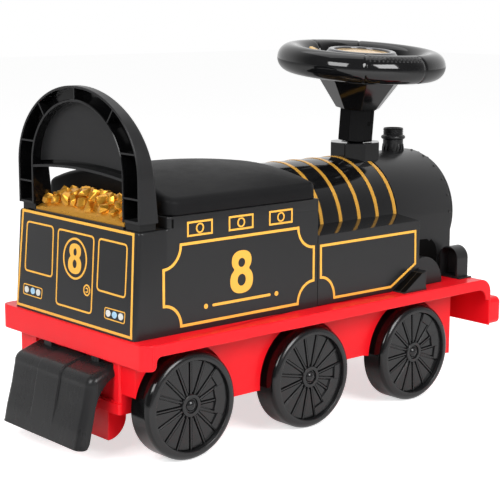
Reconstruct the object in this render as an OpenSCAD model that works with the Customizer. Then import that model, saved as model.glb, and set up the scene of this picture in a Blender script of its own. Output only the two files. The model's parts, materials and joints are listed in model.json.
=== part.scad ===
// Foot-to-floor ride-on train: six wheels on a red chassis, a black locomotive body with a
// lift-off seat over a storage tray, a hoop backrest and a free-turning steering wheel.
// Frame: +X is the train's front, +Y its left side, +Z up, origin on the floor at mid length.

/* [Wheels and axles] */
// Diameter of each wheel
wheel_d = 118; // [110:1:124]
// Width of each wheel across the tread
wheel_w = 32; // [28:0.5:35]
// Distance from the middle plane to the outer faces of the wheels
wheel_face_y = 126.7; // [124:0.1:130]
// Distance between neighbouring axles
wheel_pitch = 172.5; // [160:0.5:190]
// Radial width of the raised tread ring on the wheel face
tread_ring = 10; // [7:0.5:13]
// Depth of the recess in the wheel face
face_recess = 6; // [4:0.5:9]
// Thickness of the wheel web
web_t = 5; // [3:0.5:8]
// Radius of the hub ring
hub_r = 12.3; // [10.5:0.1:15]
// Height of the radial ribs above the web
rib_h = 2; // [1:0.25:3.5]
// Width of the radial ribs
rib_w = 2.2; // [1.4:0.1:3]
// Number of radial ribs on each wheel
rib_count = 16; // [10:1:20]
// Distance from the axle to the edge of the balance weight
weight_chord = 32; // [26:0.5:40]
// Diameter of the steel axle rods
axle_d = 8; // [6:0.5:10]
// Radius of the domed caps on the axle ends
cap_r = 7.5; // [6.5:0.1:9]
// Length of the domed caps
cap_l = 8; // [6:0.5:9]

/* [Chassis] */
// Width of the chassis
chassis_w = 274; // [266:1:290]
// Distance from the rear axle to the chassis rear face
rear_overhang = 70.7; // [66:0.1:80]
// Distance from the front axle to the chassis front face
front_overhang = 125; // [118:0.5:135]
// Gap between the wheels and the rim above them
wheel_gap = 5; // [3:0.5:9]
// Height of the rim along the chassis sides
rim_h = 13; // [10:0.5:18]
// Height of the deeper skirt across the rear
skirt_h = 27; // [20:0.5:34]
// Length of the rear skirt's return along each side
skirt_return = 15; // [13:0.5:20]
// Corner radius of the chassis in plan
deck_corner_r = 12; // [8:0.5:16]
// Radius of the rounded front edge of the deck
front_round = 18; // [12:0.5:22]
// Height of the front lip below the rounded edge
front_lip = 42; // [34:0.5:48]
// Wall thickness of the chassis mouldings
chassis_wall = 2.5; // [2:0.25:3.5]
// Half width of the keel box between the wheels
keel_half_w = 84; // [76:0.5:88]
// Distance from the body's sides in to the outer faces of the wheel-well pads
pad_inset = 5; // [2:0.5:14]
// Gap between a wheel and its well in the pads
well_gap = 5; // [3:0.5:8]
// Height of the keel's underside above the floor
keel_clear = 52; // [40:0.5:60]
// Distance from the chassis rear face to the keel's rear end
keel_inset = 8.7; // [7:0.1:14]
// Distance from the front axle to the keel's front end
keel_front = 108; // [96:0.5:116]
// Rise of the keel's underside between the middle and front wheels
keel_rise = 12; // [4:0.5:18]
// Drop of the keel's underside at its front end
keel_drop = 14; // [4:0.5:20]
// Length of the buffer beam along the train
beam_l = 18; // [10:0.5:24]
// Height of the buffer beam
beam_h = 34; // [26:0.5:40]
// Radius of the buffer beam's corners
beam_corner_r = 7; // [4:0.5:10]
// Half width of the tipping foot under the keel
foot_half_w = 59; // [46:0.5:66]
// Height of the tipping foot
foot_h = 34; // [26:0.5:38]
// Length of the tipping foot along the train
foot_l = 24; // [18:0.5:26]

/* [Rear guard] */
// Distance that the guard stands out behind the chassis
guard_reach = 40.5; // [34:0.5:46]
// Half width of the guard
guard_half_w = 76; // [68:0.5:84]
// Height of the guard's lower edge above the floor
guard_clear = 20; // [14:0.5:28]
// Height of the guard's top plate above the floor
guard_top = 99; // [92:0.5:102]
// Lean of the guard's rear face from top to bottom
guard_lean = 14; // [8:0.5:20]
// Radius of the guard's upper bend
guard_bend_r = 14; // [10:0.5:18]
// Wall thickness of the guard
guard_wall = 3; // [2:0.25:4]
// Width of the guard's side flanges
guard_flange = 15; // [10:0.5:20]

/* [Body] */
// Width of the body across its side panels
body_w = 226; // [216:1:236]
// Length of the body from its rear panel to the front of the seat box
body_l = 258; // [245:1:270]
// Distance from the chassis rear face to the body's rear panel
body_inset = 4; // [2:0.5:8]
// Length of the bunker behind the seat box
bunker_l = 45; // [40:0.5:50]
// Height of the bunker above the deck
bunker_h = 111; // [100:0.5:116]
// Height of the seat box above the deck
box_h = 123.5; // [120:0.5:132]
// Lean of the rear panel from bottom to top
rear_lean = 8.4; // [4:0.1:12]
// Radius of the body's upright corners
body_corner_r = 13; // [8:0.5:16]
// Wall thickness of the body mouldings
body_wall = 2.5; // [2:0.25:3.5]
// Height of the posts that carry the storage tray
post_h = 28; // [22:0.5:40]
// Wall thickness of the storage tray
tray_wall = 2; // [1.5:0.25:3]
// Height of the storage tray
tray_h = 86; // [60:0.5:88]

/* [Boiler and smokebox] */
// Radius of the boiler
boiler_r = 75.5; // [70:0.5:80]
// Height of the boiler's axis above the deck
boiler_h = 76; // [72:0.5:84]
// Length of the boiler
boiler_l = 213; // [208:0.5:222]
// Width of each boiler band
band_w = 7; // [4:0.25:9]
// Thickness of the boiler bands
band_t = 0.6; // [0.4:0.1:1.2]
// Number of boiler bands
band_count = 5; // [3:1:5]
// Distance between neighbouring boiler bands
band_pitch = 31; // [26:0.5:32]
// Distance from the seat box to the first boiler band
band_start = 42; // [36:0.5:46]
// Length of the side tanks
tank_l = 170; // [150:0.5:176]
// Height of the side tanks above the deck
tank_h = 81.4; // [72:0.5:90]
// Rise of the tanks' tops from their outer edge to the boiler
tank_rise = 4; // [0:0.5:8]
// Height above the deck of the chamfer at the tank's front
tank_chamfer_h = 24; // [16:0.5:32]
// Length of the chamfer at the tank's front
tank_chamfer_l = 48; // [36:0.5:56]
// Length of the smokebox
smokebox_l = 56; // [50:0.5:62]
// Radius of the smokebox
smokebox_r = 76.5; // [74:0.5:81]
// Thickness of the smokebox door ring
door_ring_t = 10; // [10:0.5:14]
// Radius of the smokebox door ring
door_r = 73.5; // [64:0.5:74]
// Bulge of the smokebox door
door_bulge = 8; // [4:0.5:10]
// Number of rivets round the door ring
rivet_count = 28; // [16:1:32]
// Radius of the rivets
rivet_r = 2.2; // [1.5:0.1:3]
// Radius of the chimney
chimney_r = 13.5; // [11:0.5:16]
// Height of the chimney above the smokebox
chimney_h = 28.5; // [22:0.5:36]
// Distance from the boiler's front end to the chimney's axis
chimney_x = 28; // [24:0.5:30]

/* [Lamps and cylinders] */
// Distance from the middle plane to the middle of each lamp
lamp_y = 96; // [95:0.5:100]
// Radius of the lamp housings
lamp_r = 15; // [11:0.5:15]
// Height of the lamp's middle above the deck
lamp_h = 24; // [20:0.5:32]
// Length of the lamp housings
lamp_l = 20; // [14:0.5:20]
// Radius of the cylinder covers
cylinder_r = 35; // [28:0.5:37]
// Distance from the tank's front to the cylinder's middle
cylinder_ahead = 9.6; // [6:0.1:14]
// Width of the wedge that stands out beside the tank's chamfer
wedge_w = 11.5; // [8:0.5:14]

/* [Seat and backrest] */
// Height of the seat lid at its side edges
seat_edge_h = 14; // [11:0.5:20]
// Crown of the seat lid across its width
seat_crown = 27; // [18:0.5:32]
// Fall of the seat lid from its crest to the front
seat_fall = 9.5; // [5:0.5:12]
// Wall thickness of the seat lid
seat_wall = 3; // [2:0.25:4]
// Depth of the lip that locates the seat lid in the box
seat_lip = 8; // [5:0.5:9]
// Distance from the body's sides in to the sides of the backrest hoop
hoop_inset = 1; // [0:0.5:8]
// Height of the backrest hoop above the bunker
hoop_h = 142; // [128:0.5:160]
// Height of the arch of the hoop above its straight legs
hoop_arch_h = 89; // [78:0.5:100]
// Width of the hoop's band at its legs
hoop_band = 29; // [22:0.5:32]
// Width of the hoop's band at its top
hoop_band_top = 17; // [13:0.5:22]
// Depth of the backrest hoop along the train, at its foot
hoop_depth = 26.5; // [20:0.5:27]
// Depth of the backrest hoop at its top
hoop_depth_top = 13; // [13:0.5:20]
// Wall thickness of the backrest hoop
hoop_wall = 3; // [2:0.25:3.5]
// Thickness of the ribs in the hoop
hoop_rib = 2; // [1.5:0.25:3]
// Height of the pegs under the hoop
peg_h = 8; // [5:0.5:11]
// Height of the panel's lower edge above the bunker
panel_low = 56; // [50:0.5:64]
// Height of the coal load above the bunker
coal_h = 28; // [18:0.5:30]

/* [Steering] */
// Distance from the boiler's front end back to the steering axis
steer_back = 42; // [39:0.5:44]
// Sideways lean of the steering column
steer_lean = 5; // [0:0.5:6]
// Width of the octagonal boss across its flats
boss_w = 60; // [52:0.5:64]
// Height of the boss above the boiler
boss_h = 16.5; // [12:0.5:22]
// Width of the octagonal column across its flats
column_w = 42; // [38:0.5:46]
// Length of the octagonal column
column_l = 40; // [34:0.5:52]
// Radius of the column's round journal
journal_r = 9.95; // [8:0.05:11]
// Length of the bush that carries the journal
bush_l = 26; // [18:0.5:32]
// Height of the housing under the wheel
housing_h = 36; // [30:0.5:44]
// Width of the housing across its flats at the bottom
housing_low_w = 50; // [46:0.5:54]
// Width of the housing across its flats at the top
housing_top_w = 96; // [92:0.5:98]
// Radius of the steering wheel to the middle of its rim
rim_radius = 87; // [80:0.5:94]
// Radius of the rim tube
rim_tube_r = 17; // [13:0.5:18]
// Height of the rim's middle above the housing
rim_rise = 22; // [16:0.5:28]
// Radius of the wheel's hub
hub_cup_r = 50; // [48:0.5:52]
// Height of the wheel's hub above the housing
hub_cup_h = 28; // [24:0.5:34]
// Width of the spokes
spoke_w = 36; // [28:0.5:42]
// Thickness of the spokes
spoke_t = 12; // [9:0.5:15]
// Radius of the horn button
horn_r = 34; // [28:0.5:36]
// Travel of the horn button
horn_travel = 2.5; // [1.5:0.25:3]
// Length of the side buttons
side_button_l = 17; // [12:0.5:18]
// Width of the side buttons
side_button_w = 12; // [9:0.5:20]
// Travel of the side buttons
side_travel = 2; // [1:0.25:2.5]

/* [Hidden] */
$fn = 64;

// Colours of the mouldings and fittings
black_plastic = [0.12, 0.12, 0.125];
gloss_black = [0.07, 0.07, 0.075];
red_plastic = [0.85, 0.08, 0.1];
gold_trim = [0.85, 0.6, 0.2];
steel_grey = [0.7, 0.7, 0.72];
clear_grey = [0.8, 0.85, 0.9];
board_green = [0.1, 0.35, 0.2];

// Overrun of every cut past the face it opens
over = 1;
// Running clearance on radius between a journal and its bore
run_fit = 0.05;
// Clearance round pieces that drop into a pocket
loose_fit = 0.5;
// Clearance between faces of pieces that move against each other
slide_gap = 0.3;

// Stations along the train
rear_reach = wheel_pitch + rear_overhang + guard_reach;
front_reach = wheel_pitch + front_overhang + beam_l;
x_mid_axle = (rear_reach - front_reach) / 2;
x_rear_axle = x_mid_axle - wheel_pitch;
x_front_axle = x_mid_axle + wheel_pitch;
x_deck_rear = x_rear_axle - rear_overhang;
x_deck_front = x_front_axle + front_overhang;
x_body_rear = x_deck_rear + body_inset;
x_box_rear = x_body_rear + bunker_l;
x_body_front = x_body_rear + body_l;
x_boiler_front = x_body_front + boiler_l;
x_smokebox_front = x_boiler_front + smokebox_l;
x_tank_front = x_body_front + tank_l;
x_steer = x_boiler_front - steer_back;
axle_xs = [x_rear_axle, x_mid_axle, x_front_axle];

// Heights
z_axle = wheel_d / 2;
z_rim_bottom = wheel_d + wheel_gap;
z_deck = z_rim_bottom + rim_h;
z_deck_under = z_deck - chassis_wall;
z_skirt_bottom = z_deck - skirt_h;
z_bunker = z_deck + bunker_h;
z_box = z_deck + box_h;
z_boiler = z_deck + boiler_h;
z_boss_top = z_boiler + boiler_r + boss_h;
z_tray = z_deck + post_h;

// Extrudes a side outline, drawn as x and z, across the train about its middle plane
module across(width) {
    rotate([90, 0, 0]) linear_extrude(width, center = true) children();
}

// Extrudes a cross section, drawn as y and z, forward from x = 0
module forward(length) {
    rotate([90, 0, 90]) linear_extrude(length) children();
}

// Lays a cylinder along the train's width about its middle
module cross_rod(radius, length) {
    rotate([90, 0, 0]) cylinder(r = radius, h = length, center = true);
}

// Rectangle in plan with rounded corners, from x_low to x_high
module plan_outline(x_low, x_high, width, corner_r) {
    for (x = [x_low + corner_r, x_high - corner_r], y = [corner_r - width / 2, width / 2 - corner_r])
        translate([x, y]) circle(corner_r);
    translate([x_low + corner_r, -width / 2]) square([x_high - x_low - 2 * corner_r, width]);
    translate([x_low, corner_r - width / 2]) square([x_high - x_low, width - 2 * corner_r]);
}

// Copies its child to both sides of the train
module both_sides() {
    children();
    mirror([0, 1, 0]) children();
}

// Screw with a pan head at z = 0 and its shank along +Z
module pan_screw(shank_l) {
    cylinder(r = screw_r, h = shank_l);
    translate([0, 0, -screw_head_h]) cylinder(r = screw_head_r, h = screw_head_h);
}
screw_r = 1.9;
screw_head_r = 3.6;
screw_head_h = 2.2;
screw_hole_r = screw_r + run_fit;
screw_l = 16;
screw_post_r = 6;

// Chassis deck

deck_curve_x = x_deck_front - front_round;
deck_curve_z = z_deck - front_round;

module deck_profile(thickness) {
    translate([x_deck_rear, z_deck - thickness]) square([deck_curve_x - x_deck_rear, thickness]);
    intersection() {
        translate([deck_curve_x, deck_curve_z]) difference() {
            circle(front_round);
            circle(front_round - thickness);
        }
        translate([deck_curve_x, deck_curve_z]) square(front_round);
    }
}

// Side rim, drawn as x and z: a narrower flange carries it down round the front edge
rim_front_w = 8.5;
rim_fillet_r = 14;

module rim_profile() {
    rim_end_z = z_rim_bottom - rim_fillet_r;
    fillet_x = x_deck_front - rim_front_w - rim_fillet_r;
    difference() {
        union() {
            translate([x_deck_rear, rim_end_z]) square([deck_curve_x - x_deck_rear, z_deck - rim_end_z]);
            translate([deck_curve_x, deck_curve_z]) circle(front_round);
            translate([deck_curve_x, rim_end_z]) square([front_round, deck_curve_z - rim_end_z]);
        }
        translate([fillet_x, rim_end_z]) circle(rim_fillet_r);
        translate([x_deck_rear - over, rim_end_z - over])
            square([fillet_x - x_deck_rear + over, rim_fillet_r + over]);
        translate([x_deck_rear - over, rim_end_z - 2 * front_round])
            square([x_deck_front - x_deck_rear + 2 * over, 2 * front_round]);
    }
}

module deck_side_rims() {
    both_sides()
        translate([0, chassis_w / 2 - chassis_wall / 2, 0]) across(chassis_wall) rim_profile();
}

// Side of the rear skirt, drawn as x and z, rounded below and filleted up to the rim
skirt_round = 6;

module skirt_side() {
    skirt_front = x_deck_rear + skirt_return;
    round_x = skirt_front - skirt_round;
    translate([x_deck_rear, z_skirt_bottom]) square([skirt_return - skirt_round, skirt_h]);
    translate([round_x, z_skirt_bottom + skirt_round]) {
        circle(skirt_round);
        square([skirt_round, skirt_h - skirt_round]);
    }
    translate([skirt_front, z_rim_bottom]) difference() {
        translate([-skirt_round, -skirt_round]) square([2 * skirt_round, 2 * skirt_round]);
        translate([skirt_round, -skirt_round]) circle(skirt_round);
    }
}

module deck_rear_skirt() {
    intersection() {
        translate([0, 0, z_skirt_bottom]) linear_extrude(skirt_h - chassis_wall) difference() {
            plan_outline(x_deck_rear, x_deck_front, chassis_w, deck_corner_r);
            plan_outline(x_deck_rear + chassis_wall, x_deck_front, chassis_w - 2 * chassis_wall,
                deck_corner_r - chassis_wall);
        }
        across(chassis_w) skirt_side();
    }
}

module deck_front_lip() {
    lip_x = x_deck_front - chassis_wall;
    translate([lip_x, -chassis_w / 2, deck_curve_z - front_lip])
        cube([chassis_wall, chassis_w, front_lip]);
}

body_screw_inset = body_wall / 2 + screw_post_r;
body_screw_places = [
    for (x = [x_box_rear + body_screw_inset, x_body_front - body_screw_inset],
        y = [body_screw_inset - body_w / 2, body_w / 2 - body_screw_inset]) [x, y]
];
keel_screw_y = boiler_r - body_wall - 2 * screw_post_r;
keel_screw_places = [
    for (x = [x_rear_axle + wheel_pitch / 2, x_mid_axle + wheel_pitch / 2],
        y = [-keel_screw_y, keel_screw_y]) [x, y]
];

module chassis_deck() {
    color(red_plastic) difference() {
        union() {
            intersection() {
                union() {
                    across(chassis_w) deck_profile(chassis_wall);
                    deck_side_rims();
                }
                translate([0, 0, z_skirt_bottom]) linear_extrude(skirt_h)
                    plan_outline(x_deck_rear, x_deck_front + deck_corner_r, chassis_w, deck_corner_r);
            }
            deck_rear_skirt();
            deck_front_lip();
        }
        for (place = concat(body_screw_places, keel_screw_places))
            translate([place[0], place[1], z_deck_under - over])
                cylinder(r = screw_hole_r, h = chassis_wall + 2 * over);
    }
}

// Keel

x_keel_rear = x_deck_rear + keel_inset;
x_keel_front = x_front_axle + keel_front;
x_keel_rise = x_mid_axle + wheel_pitch / 2;

module keel_outline(inset) {
    polygon([
        [x_keel_rear + inset, z_deck_under],
        [x_keel_rear + inset, keel_clear + inset],
        [x_mid_axle, keel_clear + inset],
        [x_keel_rise - hub_r, keel_clear + keel_rise + inset],
        [x_keel_rise + hub_r, keel_clear + keel_rise + inset],
        [x_front_axle, keel_clear + inset],
        [x_keel_front - inset, keel_clear - keel_drop + inset],
        [x_keel_front - inset, z_deck_under]
    ]);
}

pad_y = body_w / 2 - pad_inset;
axle_boss_r = axle_d / 2 + chassis_wall;
pad_front_x = x_front_axle + wheel_d / 2 + well_gap + front_round;

module pad_section(inset) {
    well_r = wheel_d / 2 + well_gap + inset;
    difference() {
        intersection() {
            keel_outline(inset);
            translate([x_keel_rear, 0]) square([pad_front_x - inset - x_keel_rear, z_deck_under]);
        }
        for (x = axle_xs) translate([x, z_axle]) circle(well_r);
        for (x = axle_xs) translate([x - well_r, 0]) square([2 * well_r, z_axle]);
    }
}

module keel_pads() {
    pad_t = pad_y - keel_half_w;
    both_sides() translate([0, keel_half_w + pad_t / 2, 0]) difference() {
        across(pad_t) pad_section(0);
        translate([0, -chassis_wall, 0]) across(pad_t) pad_section(chassis_wall);
    }
}

module keel() {
    color(red_plastic) difference() {
        union() {
            difference() {
                across(2 * keel_half_w) keel_outline(0);
                difference() {
                    across(2 * keel_half_w - 2 * chassis_wall) keel_outline(chassis_wall);
                    for (x = axle_xs) translate([x, 0, z_axle]) cross_rod(axle_boss_r, 2 * keel_half_w);
                    for (place = keel_screw_places) translate([place[0], place[1], keel_clear])
                        cylinder(r = screw_post_r, h = z_deck - keel_clear);
                }
            }
            keel_pads();
        }
        for (x = axle_xs) translate([x, 0, z_axle])
            cross_rod(axle_d / 2 + run_fit, 2 * keel_half_w + 2 * over);
        for (place = keel_screw_places) translate([place[0], place[1], z_deck_under - screw_l])
            cylinder(r = screw_hole_r, h = screw_l + over);
        for (place = body_screw_places)
            translate([place[0], place[1], z_deck_under - screw_head_h - loose_fit])
                cylinder(r = screw_head_r + loose_fit, h = screw_head_h + loose_fit + over);
    }
}

// Buffer beam and tipping foot

module beam_section(low, width, inset) {
    translate([0, low]) rotate(-90)
        plan_outline(inset - beam_h, -inset, width - 2 * inset, beam_corner_r - inset);
}

module buffer_beam() {
    beam_z = deck_curve_z - front_lip;
    beam_w = chassis_w - 2 * slide_gap;
    color(red_plastic) translate([x_deck_front, 0, 0]) difference() {
        forward(beam_l) beam_section(beam_z, beam_w, 0);
        translate([-over, 0, 0]) forward(beam_l - chassis_wall + over)
            beam_section(beam_z, beam_w, chassis_wall);
    }
}

module foot_outline(inset) {
    foot_round_z = keel_clear - foot_h + foot_l;
    intersection() {
        translate([x_keel_rear, foot_round_z]) union() {
            circle(foot_l - inset);
            square([foot_l - inset, keel_clear - foot_round_z]);
        }
        translate([x_keel_rear + inset, 0]) square([foot_l, keel_clear]);
    }
}

module tipping_foot() {
    color(red_plastic) difference() {
        across(2 * foot_half_w) foot_outline(0);
        across(2 * foot_half_w - 2 * chassis_wall) foot_outline(chassis_wall);
    }
}

// Rear guard

x_guard_rear = x_deck_rear - guard_reach;
x_guard_top = x_guard_rear + guard_lean;
guard_plate_front = x_keel_rear - slide_gap;
guard_tab_t = keel_inset - chassis_wall - 2 * loose_fit;
guard_tab_w = 14;
guard_tab_y = 45;

module guard_outline(inset) {
    bend_x = x_guard_top + guard_bend_r;
    bend_z = guard_top - guard_bend_r;
    translate([bend_x, bend_z]) circle(guard_bend_r - inset);
    polygon([
        [x_guard_top + inset, bend_z],
        [x_guard_rear + inset, guard_clear],
        [x_guard_rear + guard_flange, guard_clear],
        [bend_x, bend_z - guard_bend_r],
        [guard_plate_front, guard_top - guard_flange],
        [guard_plate_front, guard_top - inset],
        [bend_x, guard_top - inset]
    ]);
}

module rear_guard() {
    guard_tab_x = x_deck_rear + chassis_wall + loose_fit;
    color(black_plastic) {
        difference() {
            across(2 * guard_half_w) guard_outline(0);
            across(2 * guard_half_w - 2 * guard_wall) union() {
                guard_outline(guard_wall);
                translate([x_guard_rear + guard_wall, guard_clear - over])
                    square([guard_flange + guard_bend_r, 2 * over]);
                translate([guard_plate_front - over, guard_top - guard_flange - over])
                    square([2 * over, guard_flange + over - guard_wall]);
            }
        }
        both_sides() translate([guard_tab_x, guard_tab_y - guard_tab_w / 2, guard_top - guard_wall])
            cube([guard_tab_t, guard_tab_w, z_deck_under - guard_top + guard_wall]);
    }
}

// Body shell and storage tray

module body_profile(inset) {
    lean_share = (bunker_h - inset) / bunker_h;
    polygon([
        [x_body_rear + inset, z_deck],
        [x_body_rear + inset + rear_lean * lean_share, z_bunker - inset],
        [x_box_rear - inset, z_bunker - inset],
        [x_box_rear - inset, z_deck]
    ]);
}

module body_plan(inset) {
    plan_outline(x_body_rear + inset, x_body_front + body_corner_r, body_w - 2 * inset,
        body_corner_r - inset);
}

module body_shell() {
    post_base = z_deck;
    box_in_l = x_body_front - x_box_rear - 2 * body_wall;
    color(black_plastic) difference() {
        union() {
            difference() {
                intersection() {
                    across(body_w) union() {
                        body_profile(0);
                        translate([x_box_rear, z_deck]) square([x_body_front - x_box_rear, box_h]);
                    }
                    translate([0, 0, z_deck]) linear_extrude(box_h) body_plan(0);
                }
                intersection() {
                    across(body_w - 2 * body_wall) {
                        body_profile(body_wall);
                        translate([x_body_rear + body_wall, z_deck - over])
                            square([bunker_l - 2 * body_wall, over]);
                    }
                    translate([0, 0, z_deck - over]) linear_extrude(bunker_h) body_plan(body_wall);
                }
                translate([x_box_rear + body_wall, body_wall - body_w / 2, z_deck - over])
                    cube([box_in_l, body_w - 2 * body_wall, box_h + 2 * over]);
            }
            for (place = body_screw_places) translate([place[0], place[1], post_base])
                cylinder(r = screw_post_r, h = post_h);
        }
        for (place = body_screw_places) translate([place[0], place[1], post_base - over])
            cylinder(r = screw_hole_r, h = screw_l + over);
        for (y = backrest_screw_ys) translate([x_hoop_mid, y, z_bunker - body_wall - over])
            cylinder(r = screw_hole_r, h = body_wall + 2 * over);
    }
}

module storage_tray() {
    tray_x = x_box_rear + body_wall + loose_fit;
    tray_l = x_body_front - x_box_rear - 2 * body_wall - 2 * loose_fit;
    tray_w = body_w - 2 * body_wall - 2 * loose_fit;
    color(black_plastic) translate([tray_x, -tray_w / 2, z_tray]) difference() {
        cube([tray_l, tray_w, tray_h]);
        translate([tray_wall, tray_wall, tray_wall])
            cube([tray_l - 2 * tray_wall, tray_w - 2 * tray_wall, tray_h]);
    }
}

// Side tanks

tank_inner_y = boiler_r + slide_gap;

module tank_profile(inset, rise) {
    chamfer_rise_share = tank_chamfer_h / tank_chamfer_l;
    polygon([
        [x_body_front + inset, z_deck],
        [x_body_front + inset, z_deck + tank_h + rise - inset],
        [x_tank_front - inset, z_deck + tank_h + rise - inset],
        [x_tank_front - inset, z_deck + tank_chamfer_h + inset * (1 - chamfer_rise_share)],
        [x_tank_front - tank_chamfer_l - 2 * inset * (1 - chamfer_rise_share), z_deck]
    ]);
}

module side_tank() {
    tank_w = body_w / 2 - tank_inner_y;
    rise_share = tank_rise / tank_w;
    color(black_plastic) translate([0, tank_inner_y + tank_w / 2, 0]) difference() {
        across(tank_w) tank_profile(0, tank_rise);
        translate([0, 0, -over]) across(tank_w - 2 * body_wall) tank_profile(body_wall, 0);
        translate([x_body_front - over, 0, z_deck + tank_h]) forward(tank_l + 2 * over) polygon([
            [tank_w / 2 + over, -rise_share * over], [tank_w / 2 + over, tank_rise + body_wall],
            [-tank_w / 2 - over, tank_rise + body_wall], [-tank_w / 2 - over, tank_rise + rise_share * over]
        ]);
    }
}

module side_tank_left() { side_tank(); }
module side_tank_right() { mirror([0, 1, 0]) side_tank(); }

// Boiler, bands and smokebox

module arch_section(radius) {
    intersection() {
        union() {
            translate([0, z_boiler]) circle(radius, $fn = 128);
            translate([-radius, z_deck]) square([2 * radius, boiler_h]);
        }
        translate([-radius, z_deck]) square([2 * radius, boiler_h + radius]);
    }
}

// Upright octagonal prism, its width measured across flats
module octagon(width, height) {
    rotate(octagon_turn) cylinder(d = width / cos(octagon_turn), h = height, $fn = 8);
}
octagon_turn = 22.5;

// Places its children in the steering column's own frame, on top of the boss
module steering_frame() {
    translate([x_steer, 0, z_boss_top]) rotate([steer_lean, 0, 0]) children();
}

bush_wall = 4;
bush_flange_t = 3;
bush_sink = 0.3;
bush_r = journal_r + run_fit + bush_wall;
bush_flange_r = bush_r + bush_flange_t;
bush_top = -bush_flange_r * sin(steer_lean) - bush_sink;

module boss_prism(growth) {
    translate([x_steer, 0, z_boiler]) octagon(boss_w + 2 * growth, boiler_r + boss_h);
}

module boiler_shell() {
    color(gloss_black) difference() {
        union() {
            translate([x_body_front, 0, 0]) forward(boiler_l) arch_section(boiler_r);
            boss_prism(0);
        }
        translate([x_body_front + body_wall, 0, -over]) forward(boiler_l - 2 * body_wall)
            arch_section(boiler_r - body_wall);
        steering_frame() {
            translate([0, 0, bush_top - bush_l - boss_h])
                cylinder(r = bush_r, h = bush_l + boss_h + over);
            translate([0, 0, bush_top - bush_flange_t])
                cylinder(r = bush_flange_r, h = bush_flange_t + boss_h);
        }
        pipe_opening();
    }
}

band_xs = [for (i = [0:band_count - 1]) x_body_front + band_start + i * band_pitch - band_w / 2];

module boiler_bands() {
    z_band_low = z_deck + tank_h + tank_rise;
    color(gold_trim) difference() {
        intersection() {
            for (x = band_xs) translate([x, 0, 0]) forward(band_w) difference() {
                arch_section(boiler_r + band_t);
                arch_section(boiler_r);
            }
            translate([x_body_front, -body_w / 2, z_band_low])
                cube([boiler_l, body_w, boiler_r + boiler_h]);
        }
        boss_prism(band_t);
    }
}

// Opening for the steam pipes in both flanks below the boiler
pipe_low = 14;
pipe_high = 50;
pipe_half_l = 17;
pipe_corner_r = 6;

module pipe_opening() {
    across(2 * boiler_r + 2 * over) translate([x_pipe - pipe_half_l, z_deck + pipe_low])
        square([2 * pipe_half_l - pipe_corner_r, pipe_high - pipe_low]);
}
x_pipe = x_boiler_front - pipe_half_l - body_wall;

module smokebox() {
    color(black_plastic) difference() {
        translate([x_boiler_front, 0, 0]) forward(smokebox_l) arch_section(smokebox_r);
        translate([x_boiler_front + body_wall, 0, -over]) forward(smokebox_l - 2 * body_wall)
            arch_section(smokebox_r - body_wall);
    }
}

// Turns a profile, drawn as radius and distance forward, about the boiler's axis
module boiler_turned() {
    translate([x_smokebox_front, 0, z_boiler]) rotate([0, 90, 0])
        rotate_extrude($fn = 128) children();
}

door_edge_r = 5;
door_seat_r = door_r - door_edge_r;
door_bulge_r = (door_seat_r * door_seat_r + door_bulge * door_bulge) / (2 * door_bulge);

module door_rivets() {
    rivet_x = x_smokebox_front + (door_ring_t - door_edge_r) / 2;
    for (turn = [0:360 / rivet_count:359]) if (door_r * cos(turn) > 2 * rivet_r - boiler_h)
        translate([rivet_x, 0, z_boiler]) rotate([turn, 0, 0]) translate([0, 0, door_r])
            sphere(r = rivet_r);
}

module smokebox_door() {
    color(black_plastic) difference() {
        union() {
            boiler_turned() {
                square([door_r, door_ring_t - door_edge_r]);
                square([door_seat_r, door_ring_t]);
                translate([door_seat_r, door_ring_t - door_edge_r]) intersection() {
                    circle(door_edge_r);
                    square(door_edge_r);
                }
                intersection() {
                    translate([0, door_ring_t + door_bulge - door_bulge_r]) circle(door_bulge_r, $fn = 256);
                    translate([0, door_ring_t]) square([door_seat_r, door_bulge]);
                }
            }
            door_rivets();
        }
        translate([x_smokebox_front - over, 0, z_boiler]) rotate([0, 90, 0])
            cylinder(r = door_seat_r - body_wall, h = door_ring_t - body_wall + over, $fn = 128);
        translate([x_smokebox_front - over, -door_r, z_deck - door_r + slide_gap])
            cube([door_ring_t + door_bulge + 2 * over, 2 * door_r, door_r]);
    }
}

handle_r = 3;
handle_turn = 45;
handle_l = 26;
handle_boss_r = 7;
handle_boss_l = 5;

module door_handle() {
    handle_x = x_smokebox_front + door_ring_t + door_bulge;
    color(gold_trim) translate([handle_x, 0, z_boiler]) {
        rotate([0, 90, 0]) cylinder(r = handle_boss_r, h = handle_boss_l);
        translate([handle_boss_l, 0, 0]) rotate([handle_turn, 0, 0]) {
            cylinder(r = handle_r, h = handle_l);
            rotate([90, 0, 0]) cylinder(r = handle_r, h = handle_l);
            sphere(r = handle_r);
        }
    }
}

// Chimney

chimney_flare = 4.5;
chimney_flare_r = chimney_r + chimney_flare;
chimney_bore_r = chimney_r - body_wall;
chimney_ring_out = 2.7;
chimney_ring_r = chimney_r + chimney_ring_out;
chimney_ring_h = 5;
chimney_foot_share = 0.125;
chimney_ring_drop = 9;
chimney_flare_h = 12;

module chimney() {
    foot = smokebox_r * chimney_foot_share;
    color(black_plastic) difference() {
        translate([x_boiler_front + chimney_x, 0, z_boiler + smokebox_r - foot]) rotate_extrude() {
            translate([chimney_bore_r, 0]) square([chimney_r - chimney_bore_r, foot + chimney_h]);
            polygon([
                [chimney_bore_r, 0],
                [chimney_flare_r, 0],
                [chimney_flare_r, foot / 2],
                [chimney_r, foot / 2 + chimney_flare_h],
                [chimney_bore_r, foot / 2 + chimney_flare_h]
            ]);
            translate([chimney_bore_r, foot + chimney_h - chimney_ring_drop - chimney_ring_h])
                square([chimney_ring_r - chimney_bore_r, chimney_ring_h]);
        }
        translate([x_boiler_front, 0, z_boiler]) rotate([0, 90, 0])
            cylinder(r = smokebox_r, h = smokebox_l + chimney_flare_r, $fn = 128);
    }
}

// Lamps

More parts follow.
